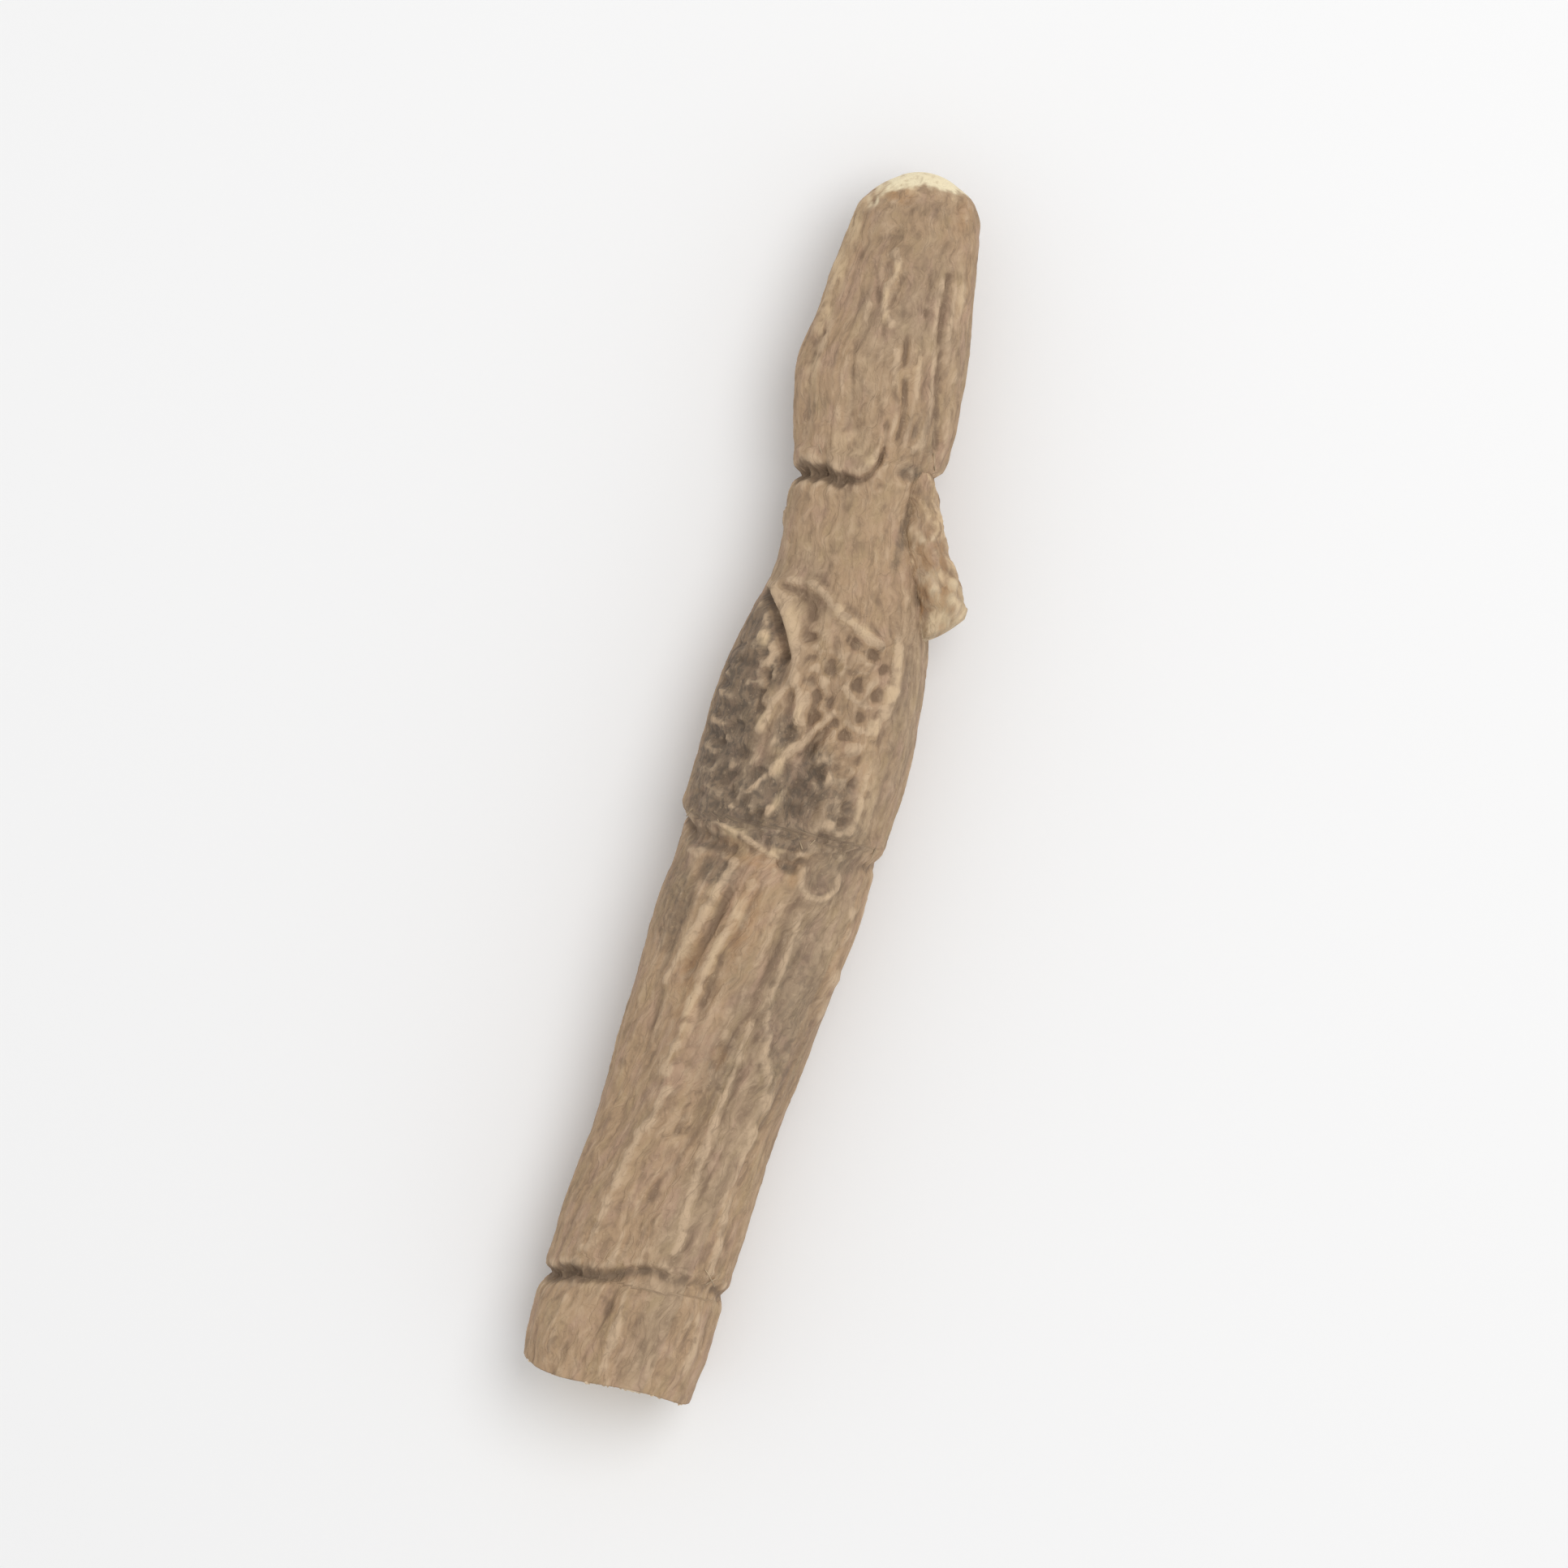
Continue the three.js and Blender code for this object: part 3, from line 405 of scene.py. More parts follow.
# Distance from row to row of the skin: within this reach of a ring, within these reaches of the top end
# and the snapped end, along the leaf scar, and elsewhere.
RING_STEP, END_STEP, LEAF_SCAR_STEP, PLAIN_STEP = 0.15, 0.16, 0.24, 0.3
RING_NEAR, TOP_END_NEAR, SNAPPED_END_NEAR = 1.6, 2.5, 1.5
LEAF_SCAR_FROM, LEAF_SCAR_TO = 27.5, 44.0
SOFT_COLUMNS, SOFT_ROWS = 7, 3  # reach of the mean that creases and ridges are told from
# Rows along the bud, at its hidden base and on its tip, and columns round it.
BUD_ROWS, BUD_BASE_ROWS, BUD_TIP_ROWS, BUD_COLUMNS = 60, 5, 7, 64
LEVEL = 0.5  # where a flat pattern cuts through the noise
# The values that every vertex of the skin keeps, for its colours, fibres and crumbs.
ATTRIBUTES = ("relief", "crack", "cut", "core", "stain_and_shade", "pale_and_highlight", "rust", "warm", "fibre", "crumb")

# Sockets of the colour mixing node, and of the random value node for numbers and for vectors.
MIX_FACTOR, MIX_A, MIX_B, MIX_RESULT = 0, 6, 7, 2
NUMBER_LOW, NUMBER_HIGH, NUMBER_RESULT = 2, 3, 1
VECTOR_LOW, VECTOR_HIGH, VECTOR_RESULT = 0, 1, 0
# How often fibres and crumbs bend in a metre, and how far a crumb may be turned about each axis.
FIBRE_BENDS, CRUMB_BENDS = 450.0, 2600.0
CRUMB_TURN = 6.28
BUMP_HEIGHT = 0.00014  # how high the material's own patterns stand, in metres

# The stage, in metres: half the width of the table, and where the lamp hangs.
TABLE_REACH = 1.5
LAMP_PLACE = (0.13, -0.14, 0.47)


def seeded(seed):
    """The same numbers from 0 to 1 on every run, and the same as in the solid."""
    state = seed
    while True:
        state = (state + 0x6D2B79F5) & 0xFFFFFFFF
        t = (state ^ (state >> 15)) * (state | 1) & 0xFFFFFFFF
        t = (t + ((t ^ (t >> 7)) * (t | 61) & 0xFFFFFFFF) & 0xFFFFFFFF) ^ t
        yield ((t ^ (t >> 14)) & 0xFFFFFFFF) / 4294967296


def hump(distance):
    """1 in the middle, and 0 from a distance of 1 on."""
    return np.maximum(0.0, 1 - distance * distance) ** 2


def bell(distance):
    """1 in the middle, and close to 0 from a distance of 2 on."""
    return np.exp(-distance * distance)


def smoothstep(low, high, value):
    """Rises from 0 at low to 1 at high, or falls where low is the greater."""
    t = np.clip((value - low) / (high - low), 0.0, 1.0)
    return t * t * (3 - 2 * t)


def through(table, column, along):
    """A smooth curve through one column of a table whose first column is the place along."""
    places, values = table[:, 0], table[:, column]
    before = np.maximum(np.arange(len(places)) - 1, 0)
    after = np.minimum(np.arange(len(places)) + 1, len(places) - 1)
    slopes = (values[after] - values[before]) / (places[after] - places[before])
    i = np.clip(np.searchsorted(places, along, side="left") - 1, 0, len(places) - 2)
    span = places[i + 1] - places[i]
    t = (along - places[i]) / span
    rise = values[i + 1] - values[i]
    bend = (1 - t) * (slopes[i] * span - rise) + t * (rise - slopes[i + 1] * span)
    return values[i] + t * rise + t * (1 - t) * bend


def lattice(x, y, z, seed):
    """A number from -1 to 1 for each whole-numbered point, mixed by large odd factors."""
    n = (x * 374761393 + y * 668265263 + z * 2147483647 + seed * 1274126177) & 0xFFFFFFFF
    n = ((n ^ (n >> 13)) * 1274126177) & 0xFFFFFFFF
    return ((n ^ (n >> 16)) & 0xFFFF) / 32767.5 - 1.0


def noise(x, y, z, seed):
    """Smooth noise from -1 to 1, its lattice a step of 1 apart."""
    x, y, z = np.broadcast_arrays(x, y, z)
    cells = [np.floor(v).astype(np.int64) for v in (x, y, z)]
    parts = [v - cell for v, cell in zip((x, y, z), cells)]
    eased = [part * part * (3 - 2 * part) for part in parts]
    total = 0.0
    for corner in range(8):
        steps = [(corner >> axis) & 1 for axis in range(3)]
        weight = 1.0
        for ease, step in zip(eased, steps):
            weight = weight * (ease if step else 1 - ease)
        total = total + weight * lattice(*[cell + step for cell, step in zip(cells, steps)], seed)
    return total


def layered(x, y, z, seed, layers=3):
    """Noise with finer and weaker noise over it."""
    return sum(noise(x * 2**k, y * 2**k, z * 2**k, seed + k) / 2**k for k in range(layers))


def ring_shift(ring, turn):
    """How far a ring's place along changes with the turn."""
    _, side, top, phase = ring[:4]
    wave = 0.22 * np.sin(3 * turn + phase) + 0.12 * np.sin(7 * turn)
    return side * np.cos(turn) + top * np.sin(turn) + wave


def lean_with_rings(place, turn):
    """Rows near a ring lean with it, so that its rim and crack follow one row of the skin."""
    along = place + 0 * turn
    for ring in RINGS:
        along = along + ring_shift(ring, turn) * hump((place - ring[0]) / RING_REACH)
    return along


def snap_shift(place, turn):
    """How far the slanted, wavy snapped end stands out, for the rows near it."""
    shift = SNAP_SLANT * np.cos(turn - SNAP_TURN) + SNAP_WAVE * np.sin(3 * turn + 1)
    return shift * hump((STEM_END - place) / SNAP_REACH)


def lip(past):
    """The lip of a torn rim, which rises slowly and ends sharply."""
    return bell(past / np.where(past < 0, LIP_RISE, LIP_END))


def ring_relief(place, turn, kept):
    """Rim, crack and shoulder of the rings, as far as each place kept them from healing over."""
    rims = cracks = 0.0
    for ring, _, _, _, rim, crack in RINGS:
        ragged = 0.2 * noise(turn * 7, ring, LEVEL, 31) + 0.08 * noise(turn * 23, ring, LEVEL, 32)
        past = place - ring + ragged
        uneven = 0.66 - 0.4 * np.cos(turn) + 0.16 * np.sin(3 * turn + ring) + 0.1 * np.sin(5 * turn + 1)
        rims = rims + rim * uneven * lip(past + LIP_BEFORE) + 0.25 * rim * bell((past - 1.5) / 0.8)
        lumpy = 1 + 0.4 * noise(turn * 13, past * 2.1, LEVEL, 33)
        lumpy = lumpy + 0.25 * noise(turn * 31, past * 4.3, LEVEL, 34)
        cracks = cracks + crack * uneven * lumpy * bell((past - 0.15) / (CRACK_WIDTH + 0.2 * uneven))
    return kept * rims, kept * cracks


def make_strokes(kind):
    """Furrows and ridges of each internode. The coarse ones come in the same order as in the solid."""
    random = seeded(kind["seed"])

    def drawn(name):
        least, spread = kind[name]
        return least + spread * next(random)

    strokes = []
    for internode in INTERNODES:
        start, end, _, height, lean, _ = internode
        span = end - start
        for _ in range(internode[kind["number"]]):
            middle = start + span * drawn("place")
            length = span * drawn("length")
            turn = 2 * math.pi * next(random)
            width = drawn("width")
            sign = -1 if next(random) < kind["furrows"] else 1
            high = sign * height * drawn("height")
            slant = lean + kind["lean"] * (next(random) - 0.5)
            strokes.append((middle, length, turn, width, high, slant))
    return strokes


def angle_between(one, other):
    """One angle less the other, at most half a turn either way."""
    return np.mod(one - other + math.pi, 2 * math.pi) - math.pi


def stroke_relief(strokes, along, turn, radius):
    """Lengthwise furrows and ridges, on grids with a row to each place along."""
    relief = np.zeros_like(along)
    lowest, highest = along.min(axis=1), along.max(axis=1)
    for middle, length, at, width, height, lean in strokes:
        rows = (highest > middle - length) & (lowest < middle + length)
        past = along[rows] - middle
        apart = angle_between(turn[rows], at - lean * past / radius[rows]) * radius[rows]
        relief[rows] += height * hump(past / length) * bell(apart / width)
    return relief


def make_small_pits():
    """Small pits spread over the leaf scar: along, across, radius, depth."""
    random = seeded(PIT_SEED)
    pits = []
    for start, end, left, right, count in PIT_SPREAD:
        for _ in range(count):
            at = start + (end - start) * next(random)
            side = left + (right - left) * next(random)
            size = 0.5 + 0.5 * next(random)
            pits.append((at, side, SMALL_PIT_RADIUS * size, SMALL_PIT_DEPTH * size))
    return pits


def distance_to(path, along, across):
    """Distance from a point to a line of points along, across."""
    nearest = np.full(np.shape(along), np.inf)
    for a, b in zip(path, path[1:]):
        dx, dy = b[0] - a[0], b[1] - a[1]
        t = np.clip(((along - a[0]) * dx + (across - a[1]) * dy) / (dx * dx + dy * dy), 0, 1)
        nearest = np.minimum(nearest, np.hypot(along - a[0] - t * dx, across - a[1] - t * dy))
    return nearest


def on_top(turn):
    """1 on the upper side, falling to 0 just under the flanks."""
    return smoothstep(-0.1, 0.3, np.sin(turn))


def away_from(along, across, at, side, long, wide):
    """Distance from the middle of a patch, as a share of its half length and half width."""
    return np.hypot((along - at) / long, (across - side) / wide)


def faded(amount, table, along, across, turn):
    """An amount, less where the patches of a table take it away from the upper side."""
    for *patch, strength in table:
        amount = amount * (1 - strength * hump(away_from(along, across, *patch)) * on_top(turn))
    return amount


def top_relief(along, across, turn):
    """The upper side's own forms: the leaf scar with its rims and pits, flecks and crooked lines."""
    relief = 0.0
    ragged = 0.12 * layered(along * 1.3, across * 1.3, LEVEL, 35, 2)
    uneven = np.minimum(1.3, 1.0 + 0.45 * layered(along * 1.1, across * 1.1, LEVEL, 36, 2))
    for height, reach, path in TOP_LINES:
        away = distance_to(path, along, across) + ragged
        relief = relief + height * uneven * bell(away / reach)
    for *patch, depth in SCAR_SINK:
        relief = relief - depth * hump(away_from(along, across, *patch))
    torn = ragged + 0.2 * layered(along * 1.9, across * 1.9, LEVEL, 37, 3) - 0.04
    for at, side, radius, depth in (*PITS, *make_small_pits()):
        away = (np.hypot(along - at, across - side) + torn) / radius
        relief = relief + depth * (PIT_RIM * bell((away - 1.5) / 0.5) - bell(away / 0.95))
    for at, side, radius, height in FLECKS:
        away = (np.hypot(along - at, across - side) + ragged) / radius
        relief = relief + height * bell(away / 0.8)
    return relief * on_top(turn)


def healed(along, across, turn):
    """How much of the rings is left: less where they healed over."""
    return faded(1.0, HEALED, along, across, turn)


def line_strength(along, across, turn):
    """How much of the wrinkles shows: less on the flanks, the smooth stretches and the leaf scar."""
    return faded(0.5 + 0.5 * np.sin(turn) ** 2, SMOOTH, along, across, turn)


def patches_of(table, along, across, turn):
    """How far each point of the upper side lies inside the patches of a table."""
    inside = 0.0
    for *patch, strength in table:
        inside = np.maximum(inside, strength * smoothstep(1.0, 0.35, away_from(along, across, *patch)))
    return inside * on_top(turn)


def dent_relief(along, turn, radius):
    """The shrunken hollows."""
    relief = 0.0
    for at, side, long, wide, depth in DENTS:
        apart = angle_between(turn, side) * radius
        relief = relief - depth * hump(np.hypot((along - at) / long, apart / wide))
    return relief


def root_scars():
    """Place along, turn and radius of every round root scar."""
    scars = [TOP_SCAR]
    for start, end, step in SCAR_ROWS:
        for side, turn in enumerate(SCAR_TURNS):
            for along in np.arange(start + side * step / 2, end, step):
                wander = SCAR_WANDER * math.sin(2.3 * along + 4 * side)
                radius = SCAR_RADIUS * (0.9 + 0.2 * math.sin(5 * along))
                scars.append((along, turn + wander, radius))
    return scars


def scar_distance(along, turn, radius):
    """Distance to the nearest root scar, as a share of that scar's radius."""
    nearest = np.full(along.shape, 9.0)
    for at, side, size in root_scars():
        apart = angle_between(turn, side) * radius
        nearest = np.minimum(nearest, np.hypot(along - at, apart) / size)
    return nearest


def wrinkles(along, round_y, round_z, height):
    """A net of long creases, finer than the furrows of the solid."""
    bend = 0.6 * layered(along * 0.22, round_y * 0.4, round_z * 0.4, 51, 2)
    coarse = noise(along * 0.15, round_y * 1.1 + bend, round_z * 1.1 + bend, 52)
    fine = noise(along * 0.32, round_y * 2.4 + 2 * bend, round_z * 2.4 - 2 * bend, 53)
    blobs = noise(along * 0.6, round_y * 1.2 + bend, round_z * 1.2, 54)
    return -height * (hump(coarse / 0.24) + 0.5 * hump(fine / 0.3) + 0.35 * blobs - 0.4)


def softened(values):
    """The mean of the values over a few rows and columns of the grid."""
    rows = len(values)
    smooth = sum(np.roll(values, step, axis=1) for step in range(-SOFT_COLUMNS, SOFT_COLUMNS + 1))
    padded = np.pad(smooth / (2 * SOFT_COLUMNS + 1), ((SOFT_ROWS, SOFT_ROWS), (0, 0)), mode="edge")
    return sum(padded[step : step + rows] for step in range(2 * SOFT_ROWS + 1)) / (2 * SOFT_ROWS + 1)


def lumps(along, turn):
    """Slow swellings of the section, which leave the outline seen from above as it is."""
    upright = np.sin(turn) ** 2
    slow = 0.045 * np.cos(3 * turn + 0.8 + 0.11 * along)
    quick = 0.025 * np.cos(5 * turn - 0.7 - 0.23 * along)
    return 1 + upright * (slow + quick)


def lean_of_skin(along):
    """How far the wrinkles have turned round the stem, in millimetres."""
    turned = 0.0
    for start, end, _, _, lean, _ in INTERNODES:
        turned = turned + lean * (along - (start + end) / 2) * ((along > start - 2) & (along < end + 1))
    return turned


def to_model(along, across, height):
    """Points of the shared frame, in metres."""
    x = MIDDLE_ALONG - along
    y = MIDDLE_ACROSS - across
    return np.stack(np.broadcast_arrays(x, y, height), axis=-1) * MM


def row_step(along):
    """Distance to the next row of the skin: less at the rings, at both ends and along the leaf scar."""
    if min(abs(along - ring[0]) for ring in RINGS) < RING_NEAR:
        return RING_STEP
    if along < TOP_END_NEAR or along > STEM_END - SNAPPED_END_NEAR:
        return END_STEP
    if LEAF_SCAR_FROM < along < LEAF_SCAR_TO:
        return LEAF_SCAR_STEP
    return PLAIN_STEP


def stem_rows():
    """Share of the section and place along of each row of the skin, end faces included."""
    rows = [(share, 0.0) for share in np.linspace(0.1, 0.95, TOP_FACE_ROWS)]
    along = 0.0
    while along < STEM_END - END_STEP / 2:
        rows.append((1.0, along))
        along += row_step(along)
    rows += [(share, STEM_END) for share in np.linspace(1.0, 0.05, SNAPPED_FACE_ROWS)]
    return np.array(rows)


def plain_section(along, turn):
    """Centre across, mean radius, a point's place beside and over the centre, and its way outwards."""
    half_width = through(SECTIONS, WIDTH, along) / 2
    half_thick = through(SECTIONS, THICK, along) / 2
    swelling = lumps(along, turn)
    side = half_width * swelling * np.cos(turn)
    rise = half_thick * swelling * np.sin(turn)
    outward = np.stack([np.cos(turn) / half_width, np.sin(turn) / half_thick])
    outward = outward / np.linalg.norm(outward, axis=0)
    return through(SECTIONS, ACROSS, along), (half_width + half_thick) / 2, side, rise, outward


def round_the_stem(along, turn, radius):
    """Where a point lies round the stem, turned back so that patterns follow the wrinkles' lean."""
    turned = turn + lean_of_skin(along) / radius
    return radius * np.cos(turned), radius * np.sin(turned)


def scar_relief(along, turn, round_y, round_z, to_scar):
    """Rim and hollow of the root scars. The one on top is worn away beside the middle ring."""
    whole = 1 - 0.85 * smoothstep(*SCAR_WEAR, along) * on_top(turn)
    whole = whole * (0.85 + 0.35 * layered(along * 0.9, round_y * 0.9, round_z * 0.9, 38, 2))
    return whole * (SCAR_RIM * bell((to_scar - 0.85) / 0.2) - SCAR_HOLLOW * hump(to_scar / 0.7))


def skin_relief(place, along, across, turn, radius, wrinkle_height):
    """Height of the skin over its section, how far it is a ridge or a crease, and the ring cracks."""
    round_y, round_z = round_the_stem(along, turn, radius)
    to_scar = scar_distance(along, turn, radius)
    lines = stroke_relief(make_strokes(COARSE_LINES), along, turn, radius)
    lines = lines + stroke_relief(make_strokes(FINE_LINES), along, turn, radius)
    lines = lines + wrinkles(along, round_y, round_z, wrinkle_height)
    relief = lines * line_strength(along, across, turn) * (1 - 0.8 * bell(to_scar / 1.3))
    rims, cracks = ring_relief(place, turn, healed(along, across, turn))
    relief = relief + rims - cracks + top_relief(along, across, turn)
    relief = relief + scar_relief(along, turn, round_y, round_z, to_scar)
    grain = layered(along * 1.6, round_y * 2.0, round_z * 2.0, 21)
    past_tip = smoothstep(0, TOP_END_NEAR, along)
    relief = (relief + GRAIN_HEIGHT * grain) * past_tip
    cavity = relief - softened(relief)
    return relief + dent_relief(along, turn, radius) * past_tip, cavity, cracks


def face_shift(share, turn, radius, snapped_half):
    """How far the end faces are moved along: one into a dome, the snapped one into a rough hollow."""
    face = smoothstep(1.0, 0.9, share) * snapped_half
    face_y, face_z = share * radius * np.cos(turn), share * radius * np.sin(turn)
    broken = face * BROKEN_HEIGHT * layered(face_y * 0.9, face_z * 0.9, LEVEL, 61, 4)
    return broken - np.where(snapped_half, SNAPPED_END_HOLLOW, TOP_END_DOME) * (1 - share * share)


def pale_rim(along, across, turn):
    """The worn pale rim of the top end, wider and more broken up towards the left."""
    edge = PALE_RIM_WIDTH + 0.5 * smoothstep(0.6, -1.6, across) + 1.7 * smoothstep(-1.2, -3.0, across)
    edge = edge + 0.4 * layered(along * 1.2, across * 1.2, LEVEL, 71, 4)
    rim = smoothstep(edge + 0.25, edge - 0.15, along) * smoothstep(-0.3, 0.2, np.sin(turn))
    patchy = 0.45 + 1.1 * layered(along * 0.9, across * 1.8, LEVEL, 72)
    return rim * np.clip(patchy + smoothstep(-2.4, -0.8, across), 0, 1)


def stem_grid(settings):
    """The stem's points as a grid, and the values that its colours and fibres follow."""
    rows = stem_rows()
    share, place = rows[:, 0:1], rows[:, 1:2]
    even = np.linspace(0, 2 * math.pi, settings.columns, endpoint=False)[None, :]
    turn = even + TOP_CROWDING * np.cos(even) + TWIST_RATE * np.maximum(0, place - TWIST_FROM)
    along = lean_with_rings(place, turn) + share * snap_shift(place, turn)
    centre, radius, side, rise, outward = plain_section(along, turn)
    across = centre + side
    wrinkle_height = settings.wrinkle_height / MM
    relief, cavity, cracks = skin_relief(place, along, across, turn, radius, wrinkle_height)
    snapped_half = place > STEM_END / 2
    points = to_model(
        along + face_shift(share, turn, radius, snapped_half),
        centre + share * (side + relief * outward[0]),
        through(SECTIONS, HEIGHT, along) + share * (rise + relief * outward[1]),
    )

    side_warmth = 2 * smoothstep(GREY_TURN, WARM_TURN, turn) - 1
    top_face = (share < 1) * (place < 1)
    snapped = smoothstep(1.0, 0.95, share) * snapped_half
    ring_near = sum(bell((place - ring[0] + 0.5) / 0.7) for ring in RINGS)
    values = {
        "relief": cavity,
        "crack": cracks,
        "cut": np.maximum(np.maximum(pale_rim(along, across, turn), top_face), snapped),
        "core": snapped * (0.9 * bell((share - CORE) / 0.045) + 0.35 * (share < CORE)),
        "stain_and_shade": patches_of(STAINS_AND_SHADE, along, across, turn),
        "pale_and_highlight": patches_of(PALES_AND_HIGHLIGHTS, along, across, turn),
        "rust": patches_of(RUSTS, along, across, turn),
        "warm": smoothstep(GREY_FROM, GREY_FULL, along) * side_warmth * on_top(turn),
        "fibre": ring_near * smoothstep(0.1, 0.5, np.sin(turn)),
        "crumb": snapped,
    }
    round_y, round_z = round_the_stem(along, turn, radius)
    grain_place = np.stack([along, share * round_y, share * round_z], axis=-1)
    return points, values, grain_place


def bud_grid():
    """The bud's points as a grid: a bent, lumpy spindle with a rough blunt tip."""
    base = np.linspace(0.1, 0.9, BUD_BASE_ROWS)
    tip = np.linspace(0.9, 0.1, BUD_TIP_ROWS)
    share = np.concatenate([base, np.ones(BUD_ROWS), tip])[:, None]
    place = np.concatenate([0 * base, np.linspace(0, 1, BUD_ROWS), np.ones(BUD_TIP_ROWS)])[:, None]
    turn = np.linspace(0, 2 * math.pi, BUD_COLUMNS, endpoint=False)[None, :] + 0 * place
    start, end = BUD[0, 0], BUD[-1, 0]
    along = start + (end - start) * place + 0 * turn
    lump = 1 + BUD_LUMP * np.sin(3 * turn + 2.2 * along) + BUD_LUMP * np.sin(5 * turn - 1.7 * along)
    rough = layered(along * 1.3, np.cos(turn) * 2.4, np.sin(turn) * 2.4, 41, 4)
    blotches = layered(along * 1.4, np.cos(turn) * 2.4, np.sin(turn) * 2.4, 43)
    reach = share * through(BUD, BUD_RADIUS, along) * (lump + 0.1 * rough)
    slant = BUD_SLANT * reach * np.cos(turn)
    across = through(BUD, BUD_ACROSS, along) + reach * np.cos(turn)
    height = through(SECTIONS, HEIGHT, along) + through(BUD, BUD_HEIGHT, along)
    height = height + BUD_DEPTH * reach * np.sin(turn)
    points = to_model(along + place * (BUD_DOME * (1 - share * share) - slant), across, height)
    blank = np.zeros_like(along)
    values = dict.fromkeys(ATTRIBUTES, blank)
    values.update({
        "relief": 0.12 * rough,
        "cut": 0.25 * smoothstep(0.5, 0.9, place + 0.3 * rough),
        "pale_and_highlight": 0.8 * smoothstep(0.15, 0.6, blotches),
        "rust": 0.8 * smoothstep(0.25, -0.2, blotches) * smoothstep(0.2, 0.7, place),
        "stain_and_shade": 0.2 * smoothstep(0.2, -0.4, blotches),
        "warm": blank + 1.0,
    })
    grain_place = np.stack([along + BUD_GRAIN, reach * np.cos(turn), reach * np.sin(turn)], axis=-1)
    return points, values, grain_place


def closed_mesh(name, points):
    """A mesh over a grid that closes round its columns, with a fan on each end."""
    rows, columns = points.shape[:2]
    vertices = np.vstack([points.reshape(-1, 3), points[0].mean(axis=0), points[-1].mean(axis=0)])
    index = np.arange(rows * columns).reshape(rows, columns)
    after = np.roll(index, -1, axis=1)
    quads = np.stack([index[:-1], after[:-1], after[1:], index[1:]], axis=-1).reshape(-1, 4)
    first, last = rows * columns, rows * columns + 1
    faces = quads.tolist()
    faces += [(first, b, a) for a, b in zip(index[0].tolist(), after[0].tolist())]
    faces += [(last, a, b) for a, b in zip(index[-1].tolist(), after[-1].tolist())]
    mesh = bpy.data.meshes.new(name)
    mesh.from_pydata(vertices.tolist(), [], faces)
    mesh.update()
    piece = bpy.data.objects.new(name, mesh)
    bpy.context.scene.collection.objects.link(piece)
    return piece


def keep_result(piece):
    """Turns what the piece's modifiers make into its own plain mesh."""
    graph = bpy.context.evaluated_depsgraph_get()
    result = bpy.data.meshes.new_from_object(piece.evaluated_get(graph))
    piece.modifiers.clear()
    piece.data = result
    result.name = piece.name


def join_solids(piece, other):
    """Makes one closed solid of the two."""
    union = piece.modifiers.new("join", "BOOLEAN")
    union.operation = "UNION"
    union.solver = "MANIFOLD"
    union.object = other
    keep_result(piece)
    bpy.data.objects.remove(other)


def vertex_places(mesh):
    places = np.zeros(len(mesh.vertices) * 3)
    mesh.vertices.foreach_get("co", places)
    return places.reshape(-1, 3)


def rest_on_table(piece):
    """Nothing goes below the plane that the root lies on."""
    places = vertex_places(piece.data)
    places[:, 2] = np.maximum(places[:, 2], 0)
    piece.data.vertices.foreach_set("co", places.ravel())
    piece.data.update()


def paint(mesh, grids):
    """Gives each vertex the values of the nearest point of the grids."""
    known = np.concatenate([points.reshape(-1, 3) for points, _, _ in grids])
    tree = kdtree.KDTree(len(known))
    for i, place in enumerate(known.tolist()):
        tree.insert(place, i)
    tree.balance()
    nearest = [tree.find(place)[1] for place in vertex_places(mesh).tolist()]
    for name in ATTRIBUTES:
        parts = [(values[name] + 0 * points[..., 0]).ravel() for points, values, _ in grids]
        numbers = np.concatenate(parts)[nearest]
        mesh.attributes.new(name, "FLOAT", "POINT").data.foreach_set("value", numbers)
    grain = np.concatenate([grain.reshape(-1, 3) for _, _, grain in grids])[nearest]
    mesh.attributes.new("grain", "FLOAT_VECTOR", "POINT").data.foreach_set("vector", grain.ravel())


